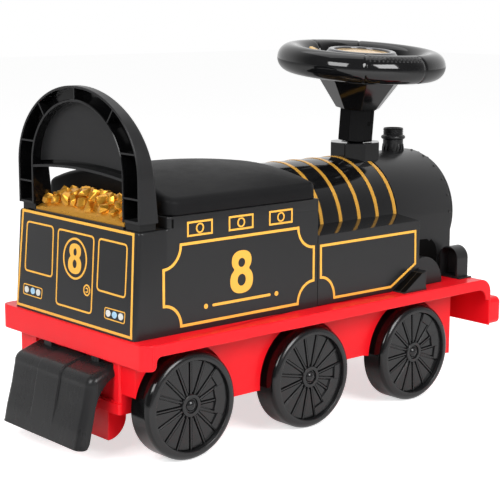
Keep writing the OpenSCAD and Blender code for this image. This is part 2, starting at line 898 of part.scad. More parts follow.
lamp_wall = 2.5;
lamp_lens_t = 3;
x_lamp = deck_curve_x - lamp_l + lamp_wall;

module lamp_section(radius) {
    translate([0, z_deck + lamp_h]) circle(radius);
    translate([-radius, z_deck]) square([2 * radius, lamp_h]);
}

module lamp_housing() {
    color(black_plastic) translate([x_lamp, lamp_y, 0]) difference() {
        forward(lamp_l) lamp_section(lamp_r);
        translate([-over, 0, lamp_wall]) forward(lamp_l - 2 * lamp_wall + over)
            intersection() {
                lamp_section(lamp_r - lamp_wall);
                translate([-lamp_r, z_deck]) square([2 * lamp_r, lamp_h + lamp_r - 2 * lamp_wall]);
            }
        translate([lamp_l - lamp_wall, 0, z_deck + lamp_h]) rotate([0, 90, 0])
            cylinder(r = lamp_r - 2 * lamp_wall, h = lamp_wall + over);
    }
}

module lamp_housing_left() { lamp_housing(); }
module lamp_housing_right() { mirror([0, 1, 0]) lamp_housing(); }

module lamp_lenses() {
    color(clear_grey) both_sides()
        translate([x_lamp + lamp_l - lamp_wall, lamp_y, z_deck + lamp_h]) rotate([0, 90, 0])
            cylinder(r = lamp_r - 2 * lamp_wall, h = lamp_lens_t);
}

// Cylinder covers

wedge_gap = 1;
cover_sink = 2;
cover_in_y = smokebox_r + slide_gap;
cover_out_y = body_w / 2 - cover_sink;
wedge_out_y = body_w / 2 + wedge_w;
x_cover = x_tank_front + wedge_gap;
x_cylinder = x_tank_front + cylinder_ahead;

module cover_section(inset) {
    intersection() {
        translate([x_cylinder, z_deck]) circle(cylinder_r - inset);
        translate([x_cover + inset, z_deck - inset]) square([2 * cylinder_r, cylinder_r]);
    }
}

module wedge_section(drop) {
    wedge_l = tank_chamfer_l - 2 * wedge_gap;
    wedge_h = (wedge_l - 2 * wedge_gap) * tank_chamfer_h / tank_chamfer_l;
    translate([x_cover, z_deck - drop]) polygon([[-wedge_l, 0], [0, 0], [0, wedge_h]]);
}

module cylinder_cover() {
    color(black_plastic) {
        translate([0, (cover_in_y + cover_out_y) / 2, 0]) difference() {
            across(cover_out_y - cover_in_y) cover_section(0);
            across(cover_out_y - cover_in_y - 2 * body_wall) cover_section(body_wall);
        }
        translate([0, (cover_in_y + wedge_out_y) / 2, 0]) difference() {
            across(wedge_out_y - cover_in_y) wedge_section(0);
            across(wedge_out_y - cover_in_y - 2 * body_wall) wedge_section(body_wall);
        }
    }
}

module cylinder_cover_left() { cylinder_cover(); }
module cylinder_cover_right() { mirror([0, 1, 0]) cylinder_cover(); }

// Backrest hoop

hoop_half_w = body_w / 2 - hoop_inset;
x_hoop_rear = x_body_rear + rear_lean + slide_gap;
x_hoop_mid = x_hoop_rear + hoop_depth / 2;
z_hoop_low = z_bunker + peg_h;
z_hoop_spring = z_bunker + hoop_h - hoop_arch_h;
hoop_steps = 48;
backrest_screw_ys = [hoop_band / 2 - hoop_half_w, hoop_half_w - hoop_band / 2];

// Arch of the hoop, drawn as y and z, with straight legs down to z_low
module hoop_outline(half_w, arch_h, z_low) {
    polygon(concat(
        [for (i = [0:hoop_steps]) [half_w * cos(180 * i / hoop_steps),
            z_hoop_spring + arch_h * sin(180 * i / hoop_steps)]],
        [[-half_w, z_low], [half_w, z_low]]
    ));
}

module hoop_band_section(inset) {
    difference() {
        hoop_outline(hoop_half_w - inset, hoop_arch_h - inset, z_hoop_low + inset);
        hoop_outline(hoop_half_w - hoop_band + inset, hoop_arch_h - hoop_band_top + inset,
            z_hoop_low - over);
    }
}

// Space behind the hoop's leaning front face, drawn as x and z
module hoop_side(inset) {
    polygon([
        [x_hoop_rear - 2 * over, z_bunker],
        [x_hoop_rear + hoop_depth - inset, z_bunker],
        [x_hoop_rear + hoop_depth - inset, z_hoop_low],
        [x_hoop_rear + hoop_depth_top - inset, z_bunker + hoop_h],
        [x_hoop_rear - 2 * over, z_bunker + hoop_h]
    ]);
}

// Angles of the slanted ribs and heights of the level ribs in the hoop
hoop_rib_angles = [-38, 0, 38];
hoop_rib_shares = [0.19, 0.5];

module hoop_ribs() {
    for (angle = hoop_rib_angles) translate([x_hoop_rear, 0, z_hoop_spring]) rotate([angle, 0, 0])
        translate([0, -hoop_rib / 2, 0]) cube([hoop_depth, hoop_rib, 2 * hoop_half_w]);
    for (share = hoop_rib_shares)
        translate([x_hoop_rear, -hoop_half_w, z_hoop_low + share * hoop_h])
            cube([hoop_depth, 2 * hoop_half_w, hoop_rib]);
}

// Lower edge of the backrest panel, arched upward in the middle
panel_rise = 5;
panel_steps = 12;
panel_inset = 11;
panel_lip = 7;

module panel_section(low) {
    inner_w = hoop_half_w - hoop_band;
    intersection() {
        hoop_outline(inner_w, hoop_arch_h - hoop_band_top, z_hoop_low);
        polygon(concat(
            [for (i = [-panel_steps:panel_steps])
                [inner_w * i / panel_steps, low + panel_rise * (1 - pow(i / panel_steps, 2))]],
            [[inner_w, z_bunker + hoop_h], [-inner_w, z_bunker + hoop_h]]
        ));
    }
}

module backrest_hoop() {
    z_panel = z_bunker + panel_low;
    color(black_plastic) difference() {
        union() {
            difference() {
                intersection() {
                    translate([x_hoop_rear, 0, 0]) forward(hoop_depth) hoop_band_section(0);
                    across(2 * hoop_half_w) hoop_side(0);
                }
                intersection() {
                    translate([x_hoop_rear - over, 0, 0]) forward(hoop_depth) hoop_band_section(hoop_wall);
                    across(2 * hoop_half_w) hoop_side(hoop_wall);
                }
            }
            intersection() {
                hoop_ribs();
                translate([x_hoop_rear, 0, 0]) forward(hoop_depth) hoop_band_section(hoop_wall / 2);
                across(2 * hoop_half_w) hoop_side(hoop_wall / 2);
            }
            translate([x_hoop_rear + panel_inset, 0, 0]) forward(hoop_wall) panel_section(z_panel);
            translate([x_hoop_rear, 0, 0]) forward(panel_inset + hoop_wall) difference() {
                panel_section(z_panel - panel_lip);
                panel_section(z_panel - panel_lip + hoop_wall);
            }
            for (y = backrest_screw_ys) translate([x_hoop_mid, y, z_bunker])
                cylinder(r = screw_post_r + screw_r, h = peg_h + hoop_wall);
        }
        for (y = backrest_screw_ys) translate([x_hoop_mid, y, z_bunker - over])
            cylinder(r = screw_hole_r, h = peg_h + over);
    }
}

// Coal load

coal_base_h = 5;
coal_rows = 3;
coal_pitch = 16.5;
coal_lump = 15;
// Shares of the lump size and turns that vary the lumps from place to place
coal_size_shares = [1, 0.82, 1.1, 0.9, 0.74, 1.06, 0.86];
coal_turn_step = 47;
coal_stagger_share = 0.25;
coal_heap_share = 0.9;
coal_mound_steps = 12;
coal_bed_share = 0.4;

// Height of the heap's middle above the bunker at a share of its width
function coal_rise(width_share) =
    coal_base_h + coal_heap_share * (1 - pow(2 * width_share - 1, 2)) * (coal_h - coal_base_h - coal_lump / 2);

module coal_load() {
    coal_w = 2 * (hoop_half_w - hoop_band - slide_gap);
    coal_x = x_hoop_rear + hoop_wall;
    coal_l = x_box_rear - body_wall - coal_x;
    coal_columns = round(coal_w / coal_pitch);
    color(gold_trim) intersection() {
        union() {
            translate([coal_x, 0, z_bunker]) forward(coal_l) polygon(concat(
                [[-coal_w / 2, 0]],
                [for (i = [0:coal_mound_steps])
                    [(i / coal_mound_steps - 1 / 2) * coal_w,
                    coal_rise(i / coal_mound_steps) + coal_bed_share * coal_lump]],
                [[coal_w / 2, 0]]
            ));
            for (row = [0:coal_rows - 1], column = [0:coal_columns - 1]) {
                index = row * coal_columns + column;
                size = coal_lump * coal_size_shares[index % len(coal_size_shares)];
                row_share = (row + 1 / 2) / coal_rows;
                stagger_share = coal_stagger_share * (row % 2);
                column_share = (column + 1 / 2 + stagger_share) / (coal_columns + coal_stagger_share);
                turn = coal_turn_step * index;
                translate([
                    coal_x + row_share * coal_l,
                    (column_share - 1 / 2) * coal_w,
                    z_bunker + coal_rise(column_share)
                ]) rotate([turn, 2 * turn, 3 * turn]) cube(size, center = true);
            }
        }
        translate([coal_x, -coal_w / 2, z_bunker]) cube([coal_l, coal_w, coal_h]);
    }
}

// Axles, spacers and caps

axle_end_y = wheel_face_y - face_recess;

module axle_rod(x) {
    color(steel_grey) translate([x, 0, z_axle]) cross_rod(axle_d / 2, 2 * axle_end_y);
}

module rear_axle() { axle_rod(x_rear_axle); }
module middle_axle() { axle_rod(x_mid_axle); }
module front_axle() { axle_rod(x_front_axle); }

wheel_in_y = wheel_face_y - wheel_w;

module axle_spacers() {
    spacer_l = wheel_in_y - slide_gap - keel_half_w;
    color(black_plastic) both_sides() for (x = axle_xs)
        translate([x, keel_half_w + spacer_l / 2, z_axle]) difference() {
            cross_rod(axle_boss_r, spacer_l);
            cross_rod(axle_d / 2, spacer_l + 2 * over);
        }
}

hub_face_y = axle_end_y - cap_l / 2;

module axle_caps() {
    cap_in = hub_face_y + slide_gap;
    color(black_plastic) both_sides() for (x = axle_xs) translate([x, cap_in, z_axle])
        rotate([-90, 0, 0]) difference() {
            union() {
                cylinder(r = cap_r, h = cap_l - cap_r / 2);
                intersection() {
                    translate([0, 0, cap_l - cap_r]) sphere(r = cap_r);
                    cylinder(r = cap_r, h = cap_l);
                }
            }
            translate([0, 0, -over]) cylinder(r = axle_d / 2, h = axle_end_y - cap_in + over);
        }
}

// Wheels

web_face = wheel_w - face_recess;
recess_r = wheel_d / 2 - tread_ring;
tread_round = 3;
tread_wall = 3;

// Wheel with its axis along +Z, inner face at z = 0
module wheel_solid() {
    difference() {
        union() {
            rotate_extrude($fn = 128) {
                translate([recess_r, 0]) square([tread_ring - tread_round, wheel_w]);
                translate([recess_r, tread_round]) square([tread_ring, wheel_w - 2 * tread_round]);
                translate([wheel_d / 2 - tread_round, tread_round]) circle(tread_round);
                translate([wheel_d / 2 - tread_round, wheel_w - tread_round]) circle(tread_round);
                translate([axle_d / 2, web_face - web_t]) square([recess_r - axle_d / 2, web_t]);
                square([hub_r, web_face + rib_h]);
            }
            for (i = [0:rib_count - 1]) rotate(i * 360 / rib_count)
                translate([hub_r - rib_h, -rib_w / 2, web_face - web_t])
                    cube([recess_r - hub_r + rib_h + rib_w, rib_w, web_t + rib_h]);
            intersection() {
                translate([0, 0, web_face - web_t]) cylinder(r = recess_r + rib_w, h = web_t + 2 * rib_h);
                translate([weight_chord, -wheel_d / 2, 0]) cube([wheel_d / 2, wheel_d, wheel_w]);
            }
        }
        translate([0, 0, -over]) cylinder(r = axle_d / 2 + run_fit, h = wheel_w + 2 * over);
        translate([0, 0, hub_face_y - wheel_in_y]) cylinder(r = cap_r + loose_fit, h = wheel_w);
        translate([0, 0, -over]) rotate_extrude($fn = 128) translate([recess_r + tread_wall, 0])
            square([tread_ring - 2 * tread_wall, wheel_w - tread_round + over]);
    }
}

// Turns of the wheels at rest, one for each axle
wheel_turns = [0, -35, 25];

module wheel_right(index) {
    color(black_plastic) translate([axle_xs[index], -wheel_in_y, z_axle]) rotate([90, 0, 0])
        rotate(wheel_turns[index]) wheel_solid();
}

module wheel_left(index) {
    mirror([0, 1, 0]) wheel_right(index);
}

module rear_left_wheel() { wheel_left(0); }
module rear_right_wheel() { wheel_right(0); }
module middle_left_wheel() { wheel_left(1); }
module middle_right_wheel() { wheel_right(1); }
module front_left_wheel() { wheel_left(2); }
module front_right_wheel() { wheel_right(2); }

// Seat lid

seat_clear = 0.3;
z_seat_low = z_box + seat_clear;
x_seat_rear = x_box_rear + loose_fit;
x_seat_front = x_body_front - slide_gap;
seat_corner_r = 14;
seat_half_w = body_w / 2;
seat_crown_r = (seat_half_w * seat_half_w + seat_crown * seat_crown) / (2 * seat_crown);
seat_crest_share = 0.6;
x_seat_crest = x_seat_front - seat_crest_share * (x_seat_front - x_seat_rear);
seat_run = x_seat_front - x_seat_crest;
seat_run_r = (seat_run * seat_run + seat_fall * seat_fall) / (2 * seat_fall);
z_seat_top = z_seat_low + seat_edge_h + seat_crown;

// Solid under the doubly curved seat top, drawn in by one inset at the sides and one at the top
module seat_form(inset, top_inset) {
    x_mid_seat = (x_seat_rear + x_seat_front) / 2;
    intersection() {
        translate([0, 0, z_seat_low]) linear_extrude(z_seat_top - z_seat_low)
            plan_outline(x_seat_rear + inset, x_seat_front - inset, body_w - 2 * inset,
                seat_corner_r - inset);
        translate([x_mid_seat, 0, z_seat_top - top_inset - seat_crown_r]) rotate([0, 90, 0])
            cylinder(r = seat_crown_r, h = body_l, center = true, $fn = 256);
        translate([x_seat_crest, 0, z_seat_top - top_inset - seat_run_r])
            rotate([90, 0, 0]) cylinder(r = seat_run_r, h = body_w, center = true, $fn = 256);
    }
}

module seat_lid() {
    lip_gap = 2 * loose_fit;
    lip_x = x_box_rear + body_wall + lip_gap;
    lip_l = x_body_front - x_box_rear - 2 * body_wall - 2 * lip_gap;
    lip_w = body_w - 2 * body_wall - 2 * lip_gap;
    color(black_plastic) {
        difference() {
            seat_form(0, 0);
            translate([0, 0, -over]) seat_form(seat_wall + lip_gap + body_wall, seat_wall);
        }
        difference() {
            translate([lip_x, -lip_w / 2, z_seat_low - seat_lip])
                cube([lip_l, lip_w, seat_lip + seat_wall]);
            translate([lip_x + seat_wall, seat_wall - lip_w / 2, z_seat_low - seat_lip - over])
                cube([lip_l - 2 * seat_wall, lip_w - 2 * seat_wall, seat_lip + seat_wall + 2 * over]);
        }
    }
}

// Steering

column_gap = column_w / 2 / cos(octagon_turn) * sin(steer_lean) + bush_sink;
column_top = column_gap + column_l;
housing_top = column_top + housing_h;
washer_t = 2;
washer_gap = 0.5;
bush_bottom = bush_top - bush_l;
washer_top = bush_bottom - washer_gap;

module steering_bush() {
    color(steel_grey) steering_frame() difference() {
        union() {
            translate([0, 0, bush_bottom]) cylinder(r = bush_r, h = bush_l);
            translate([0, 0, bush_top - bush_flange_t]) cylinder(r = bush_flange_r, h = bush_flange_t);
        }
        translate([0, 0, bush_bottom - over]) cylinder(r = journal_r + run_fit, h = bush_l + 2 * over);
    }
}

column_screw_l = 14;

module steering_column() {
    color(gloss_black) steering_frame() difference() {
        union() {
            translate([0, 0, column_gap]) octagon(column_w, column_l);
            translate([0, 0, washer_top]) cylinder(r = journal_r, h = column_gap - washer_top);
        }
        translate([0, 0, washer_top - over]) cylinder(r = screw_hole_r, h = column_screw_l + over);
        translate([0, 0, column_gap + column_w / 2]) cylinder(r = journal_r, h = column_l);
        translate([0, 0, column_gap + column_l * lock_share]) rotate([90, 0, lock_turn])
            cylinder(r = screw_head_r, h = column_w);
    }
}
// Place of the lock hole on the column
lock_share = 0.55;
lock_turn = 45;

module column_washer() {
    color(steel_grey) steering_frame() translate([0, 0, washer_top - washer_t]) difference() {
        cylinder(r = bush_r - run_fit, h = washer_t);
        translate([0, 0, -over]) cylinder(r = screw_hole_r, h = washer_t + 2 * over);
    }
}

module column_screw() {
    color(steel_grey) steering_frame() translate([0, 0, washer_top - washer_t])
        pan_screw(column_screw_l);
}

// Turn of the wheel and its housing about the column at rest
wheel_turn = 25;
housing_turn = -14;
housing_wall = 2.5;

module housing_form(inset) {
    rotate(octagon_turn + housing_turn) cylinder(
        d1 = (housing_low_w - 2 * inset) / cos(octagon_turn),
        d2 = (housing_top_w - 2 * inset) / cos(octagon_turn), h = housing_h, $fn = 8);
}

// Lugs inside the housing's top edge, each screwed up into a post of the wheel
housing_screw_r = 31;
housing_screw_turns = [30, 150, 270];
housing_screw_l = 14;
lug_t = 3;

module housing_lugs() {
    intersection() {
        housing_form(0);
        for (turn = housing_screw_turns) rotate(turn + wheel_turn)
            translate([housing_screw_r - screw_post_r, -screw_post_r, housing_h - lug_t])
                cube([housing_top_w / 2, 2 * screw_post_r, lug_t]);
    }
}

module steering_housing() {
    color(gloss_black) steering_frame() translate([0, 0, column_top]) difference() {
        union() {
            difference() {
                housing_form(0);
                translate([0, 0, housing_wall]) housing_form(housing_wall + housing_wall / 2);
            }
            housing_lugs();
        }
        for (turn = housing_screw_turns) rotate(turn + wheel_turn)
            translate([housing_screw_r, 0, housing_h - lug_t - over])
                cylinder(r = screw_hole_r, h = lug_t + 2 * over);
    }
}

hub_wall = 3;
rim_wall = 3;
hub_pocket = 6;
hub_floor = hub_cup_h - hub_pocket - hub_wall;
side_pocket = 5;
side_button_r = (hub_cup_r + rim_radius - rim_tube_r) / 2;
side_turns = [90, 270];
spoke_turns = [90, 180, 270];

module steering_wheel() {
    spoke_z = rim_rise - spoke_t / 2;
    spoke_l = rim_radius - hub_cup_r;
    color(gloss_black) steering_frame() translate([0, 0, housing_top]) rotate(wheel_turn) difference() {
        union() {
            translate([0, 0, rim_rise]) rotate_extrude($fn = 128) translate([rim_radius, 0]) difference() {
                circle(rim_tube_r);
                circle(rim_tube_r - rim_wall);
            }
            difference() {
                cylinder(r = hub_cup_r, h = hub_cup_h);
                translate([0, 0, -over]) cylinder(r = hub_cup_r - hub_wall, h = hub_floor + over);
                translate([0, 0, hub_cup_h - hub_pocket])
                    cylinder(r = horn_r + loose_fit, h = hub_pocket + over);
            }
            for (turn = spoke_turns) rotate(turn) translate([hub_cup_r - hub_wall, -spoke_w / 2, spoke_z])
                cube([spoke_l, spoke_w, spoke_t]);
            for (turn = housing_screw_turns) rotate(turn) translate([housing_screw_r, 0, 0])
                cylinder(r = screw_post_r, h = hub_floor + hub_wall / 2);
        }
        for (turn = side_turns) rotate(turn) translate([side_button_r, 0, spoke_z + spoke_t - side_pocket])
            translate([-side_button_l / 2 - loose_fit / 2, -side_button_w / 2 - loose_fit / 2, 0])
                cube([side_button_l + loose_fit, side_button_w + loose_fit, side_pocket + rim_tube_r]);
        for (turn = housing_screw_turns) rotate(turn) translate([housing_screw_r, 0, -over])
            cylinder(r = screw_hole_r, h = housing_screw_l + over);
    }
}

// Ring of trim round the horn button, on top of the hub
trim_h = 3;

module hub_trim_ring() {
    color(steel_grey) steering_frame() translate([0, 0, housing_top + hub_cup_h]) difference() {
        cylinder(r = hub_cup_r, h = trim_h);
        translate([0, 0, -over]) cylinder(r = horn_r + loose_fit, h = trim_h + 2 * over);
    }
}

board_t = 1.6;
board_l = 36;
board_w = 26;

module circuit_board() {
    board_z = housing_top + hub_floor - board_t;
    color(board_green) steering_frame() translate([-board_l / 2, -board_w / 2, board_z])
        cube([board_l, board_w, board_t]);
}

speaker_r = 14;
speaker_h = 7;
speaker_cone_r = 9;

module speaker() {
    color(steel_grey) steering_frame() translate([0, 0, column_top + housing_wall]) difference() {
        cylinder(r = speaker_r, h = speaker_h);
        translate([0, 0, speaker_h / 2]) cylinder(r = speaker_cone_r, h = speaker_h);
    }
}

cell_r = 5.2;
cell_l = 44;
cell_count = 3;

module battery_cells() {
    cell_z = column_top + housing_wall + speaker_h + cell_r;
    color(gold_trim) steering_frame() for (i = [0:cell_count - 1])
        translate([(i - (cell_count - 1) / 2) * (2 * cell_r + loose_fit), 0, cell_z])
            cross_rod(cell_r, cell_l);
}

module housing_screws() {
    color(steel_grey) steering_frame() translate([0, 0, housing_top - lug_t])
        for (turn = housing_screw_turns) rotate(turn + wheel_turn)
            translate([housing_screw_r, 0, 0]) pan_screw(housing_screw_l);
}

button_rise = 3.5;
horn_t = hub_pocket - horn_travel - loose_fit + button_rise;
horn_dome_r = (horn_r * horn_r + button_rise * button_rise) / (2 * button_rise);

module horn_button() {
    horn_z = housing_top + hub_cup_h - hub_pocket + horn_travel + loose_fit;
    color(gold_trim) steering_frame() translate([0, 0, horn_z]) intersection() {
        cylinder(r = horn_r, h = horn_t + button_rise);
        translate([0, 0, horn_t - horn_dome_r]) sphere(r = horn_dome_r, $fn = 256);
    }
}

module side_button(turn) {
    button_z = housing_top + rim_rise + spoke_t / 2 - side_pocket + side_travel + loose_fit;
    button_t = side_pocket - side_travel - loose_fit + button_rise;
    color(gold_trim) steering_frame() rotate(wheel_turn + turn) translate([side_button_r, 0, button_z])
        translate([-side_button_l / 2, -side_button_w / 2, 0])
            cube([side_button_l, side_button_w, button_t]);
}

module left_button() { side_button(side_turns[0]); }
module right_button() { side_button(side_turns[1]); }

// Screws

module body_screws() {
    color(steel_grey) for (place = body_screw_places) translate([place[0], place[1], z_deck_under])
        pan_screw(screw_l);
}

module keel_screws() {
    color(steel_grey) for (place = keel_screw_places) translate([place[0], place[1], z_deck])
        mirror([0, 0, 1]) pan_screw(screw_l);
}

module backrest_screws() {
    color(steel_grey) for (y = backrest_screw_ys) translate([x_hoop_mid, y, z_bunker - body_wall])
        pan_screw(body_wall + peg_h - over);
}

chassis_deck();
keel();
buffer_beam();
tipping_foot();
rear_guard();
body_shell();
storage_tray();
side_tank_left();
side_tank_right();
boiler_shell();
boiler_bands();
smokebox();
smokebox_door();
door_handle();
chimney();
lamp_housing_left();
lamp_housing_right();
lamp_lenses();
cylinder_cover_left();
cylinder_cover_right();
backrest_hoop();
coal_load();
rear_axle();
middle_axle();
front_axle();
axle_spacers();
axle_caps();
steering_bush();
body_screws();
keel_screws();
backrest_screws();
seat_lid();
steering_column();
column_washer();
column_screw();
steering_housing();
steering_wheel();
hub_trim_ring();
circuit_board();
speaker();
battery_cells();
housing_screws();
horn_button();
left_button();
right_button();
rear_left_wheel();
rear_right_wheel();
middle_left_wheel();
middle_right_wheel();
front_left_wheel();
front_right_wheel();
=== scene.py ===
"""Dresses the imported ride-on train in its finishes, its gold print and its fuller mouldings.

Lengths are in metres in the train's own frame: +X is its front, +Y its left side, +Z up.
"""

import json
import math
import random

import bmesh
import bpy
from bpy.props import FloatProperty, FloatVectorProperty, IntProperty, PointerProperty
from mathutils import Matrix, Vector


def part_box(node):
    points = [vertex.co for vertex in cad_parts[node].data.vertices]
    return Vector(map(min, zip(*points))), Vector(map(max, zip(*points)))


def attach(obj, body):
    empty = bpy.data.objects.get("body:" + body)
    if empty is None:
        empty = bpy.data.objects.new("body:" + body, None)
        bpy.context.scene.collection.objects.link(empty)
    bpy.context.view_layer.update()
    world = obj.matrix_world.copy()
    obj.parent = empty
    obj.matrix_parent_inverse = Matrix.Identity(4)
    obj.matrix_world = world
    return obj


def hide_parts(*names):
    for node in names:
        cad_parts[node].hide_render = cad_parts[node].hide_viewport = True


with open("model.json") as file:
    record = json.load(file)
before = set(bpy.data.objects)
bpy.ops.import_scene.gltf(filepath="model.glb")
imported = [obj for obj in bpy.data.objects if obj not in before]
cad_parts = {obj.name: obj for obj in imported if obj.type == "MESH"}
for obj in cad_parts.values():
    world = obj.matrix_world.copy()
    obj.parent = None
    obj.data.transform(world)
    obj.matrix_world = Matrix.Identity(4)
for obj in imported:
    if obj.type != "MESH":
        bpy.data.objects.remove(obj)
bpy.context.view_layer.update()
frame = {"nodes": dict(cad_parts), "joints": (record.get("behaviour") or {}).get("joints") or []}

bl_info = {
    "name": "Ride-on train",
    "version": (1, 0, 0),
    "blender": (4, 5, 0),
    "location": "View3D > Sidebar > Train",
    "description": "Builds the looks of a ride-on train around its packed solids",
    "category": "Object",
}

MM = 0.001
FINISHES = {}


# Sizes and colours that a user would change

def length(name, description, default):
    """A length in metres"""
    return FloatProperty(name=name, description=description, default=default, min=0.0,
                         unit="LENGTH", precision=4)


def colour(name, description, default):
    """A linear colour"""
    return FloatVectorProperty(name=name, description=description, default=default, size=3,
                               min=0.0, max=1.0, subtype="COLOR")


class TrainSizes(bpy.types.PropertyGroup):
    """Sizes of the dressed pieces"""
    edge: length("Edge", "Rounding of the edges of the black mouldings", 0.0012)
    red_edge: length("Red edge", "Rounding of the edges of the chassis", 0.0011)
    print_rise: length("Print rise", "Height of the printed lines above their panel", 0.00025)
    frame_line: length("Frame line", "Width of the printed panel frames", 0.003)
    thin_line: length("Thin line", "Width of the printed window frames", 0.0021)
    band_width: length("Band width", "Width of the gold bands round the boiler", 0.0053)
    rib_count: IntProperty(name="Wheel ribs", description="Radial ribs on each wheel", default=16, min=4)
    rib_width: length("Rib width", "Width of the wheel ribs", 0.0019)
    rib_groove: length("Rib groove", "Width of the groove on both sides of a wheel rib", 0.0011)
    hoop_wall: length("Hoop wall", "Wall thickness of the backrest hoop", 0.0027)
    hoop_round: length("Hoop rounding", "Rounding of the hoop's front edges", 0.004)
    hoop_top_depth: length("Hoop top depth", "Depth of the backrest hoop at its top", 0.013)
    seat_round: length("Seat rounding", "Rounding between the seat's skirt and its top", 0.007)
    coal_lump: length("Coal lump", "Mean size of the coal lumps", 0.021)
    coal_count: IntProperty(name="Coal columns", description="Coal lumps across the load", default=9, min=4)


class TrainColours(bpy.types.PropertyGroup):
    """Colours of the finishes"""
    satin_black: colour("Satin black", "Body, seat, hoop and guard", (0.0105, 0.0105, 0.011))
    gloss_black: colour("Gloss black", "Boiler and steering", (0.0035, 0.0035, 0.0038))
    wheel_black: colour("Wheel black", "Wheels and caps", (0.0085, 0.0085, 0.009))
    red: colour("Red", "Chassis", (0.86, 0.008, 0.015))
    print_gold: colour("Print gold", "Printed lines and bands", (0.82, 0.42, 0.06))
    coal_gold: colour("Coal gold", "Coal load", (0.56, 0.265, 0.026))


# Shader nodes, and the node groups that several finishes share

BUMP_DEPTH = 0.0003


def add_node(tree, kind, values=None, **settings):
    """A new node with its settings and the values of its open inputs"""
    node = tree.nodes.new(kind)
    for name, value in settings.items():
        setattr(node, name, value)
    for socket, value in (values or {}).items():
        node.inputs[socket].default_value = value
    return node


def wire(tree, *links):
    """Links, each from a node's output to another node's input"""
    for source, outlet, target, inlet in links:
        tree.links.new(source.outputs[outlet], target.inputs[inlet])


def new_group(name, inputs, outputs):
    """An empty shader group with its sockets, and its input and output nodes"""
    group = bpy.data.node_groups.new(name, "ShaderNodeTree")
    for label, default in inputs:
        socket = group.interface.new_socket(label, in_out="INPUT", socket_type="NodeSocketFloat")
        socket.default_value = default
    for label in outputs:
        group.interface.new_socket(label, in_out="OUTPUT", socket_type="NodeSocketFloat")
    return group, group.nodes.new("NodeGroupInput"), group.nodes.new("NodeGroupOutput")


def grain_group():
    """Moulded grain: a fine height and a slow mottle over the surface"""
    group, enter, leave = new_group("Moulded grain", (("Grain scale", 900.0), ("Mottle scale", 14.0)),
                                    ("Height", "Mottle"))
    place = add_node(group, "ShaderNodeTexCoord")
    for source, target, detail in (("Grain scale", "Height", 3.0), ("Mottle scale", "Mottle", 5.0)):
        noise = add_node(group, "ShaderNodeTexNoise", {"Detail": detail})
        wire(group, (place, "Object", noise, "Vector"), (enter, source, noise, "Scale"),
             (noise, "Fac", leave, target))
    return group


def marks_group():
    """Handling marks: a mask of faint rubbed streaks"""
    group, enter, leave = new_group("Handling marks", (("Scale", 40.0), ("Stretch", 6.0)), ("Mask",))
    place = add_node(group, "ShaderNodeTexCoord")
    turn = add_node(group, "ShaderNodeMapping")
    stretch = add_node(group, "ShaderNodeCombineXYZ", {"X": 1.0, "Y": 1.0})
    noise = add_node(group, "ShaderNodeTexNoise", {"Detail": 7.0, "Roughness": 0.65})
    ramp = add_node(group, "ShaderNodeValToRGB")
    for stop, position in zip(ramp.color_ramp.elements, (0.42, 0.78)):
        stop.position = position
    wire(group, (enter, "Stretch", stretch, "Z"), (place, "Object", turn, "Vector"),
         (stretch, "Vector", turn, "Scale"), (turn, "Vector", noise, "Vector"),
         (enter, "Scale", noise, "Scale"), (noise, "Fac", ramp, "Fac"), (ramp, "Color", leave, "Mask"))
    return group


def make_finish(name, base, lift, rough, grain, bump, metallic=0.0, specular=0.5, marks=(40.0, 6.0),
                mottle=14.0):
    """A procedural finish: two close shades mottled, streaked gloss and a moulded grain"""
    material = bpy.data.materials.new(name)
    material.use_nodes = True
    tree = material.node_tree
    shader = tree.nodes["Principled BSDF"]
    shader.inputs["Metallic"].default_value = metallic
    shader.inputs["Specular IOR Level"].default_value = specular
    grained = add_node(tree, "ShaderNodeGroup", {"Grain scale": grain, "Mottle scale": mottle},
                       node_tree=FINISHES["grain"])
    marked = add_node(tree, "ShaderNodeGroup", {"Scale": marks[0], "Stretch": marks[1]},
                      node_tree=FINISHES["marks"])
    lifted = (*(min(1.0, c * lift) for c in base), 1.0)
    shade = add_node(tree, "ShaderNodeMix", {6: (*base, 1.0), 7: lifted}, data_type="RGBA")
    gloss = add_node(tree, "ShaderNodeMapRange", {"To Min": rough[0], "To Max": rough[1]})
    relief = add_node(tree, "ShaderNodeBump", {"Strength": bump, "Distance": BUMP_DEPTH})
    wire(tree, (grained, "Mottle", shade, 0), (shade, 2, shader, "Base Color"),
         (marked, "Mask", gloss, "Value"), (gloss, "Result", shader, "Roughness"),
         (grained, "Height", relief, "Height"), (relief, "Normal", shader, "Normal"))
    FINISHES[name] = material


def polish_top(material, polished):
    """Lowers the roughness of a finish on its level faces"""
    tree = material.node_tree
    shader = tree.nodes["Principled BSDF"]
    facing = add_node(tree, "ShaderNodeNewGeometry")
    split = add_node(tree, "ShaderNodeSeparateXYZ")
    level = add_node(tree, "ShaderNodeMapRange", {"From Min": 0.6, "From Max": 0.95})
    blend = add_node(tree, "ShaderNodeMix", {3: polished})
    gloss = shader.inputs["Roughness"].links[0].from_node
    wire(tree, (facing, "Normal", split, 0), (split, "Z", level, "Value"), (level, "Result", blend, 0),
         (gloss, "Result", blend, 2), (blend, 0, shader, "Roughness"))


def dim(base, share):
    """A colour made darker"""
    return tuple(c * share for c in base)


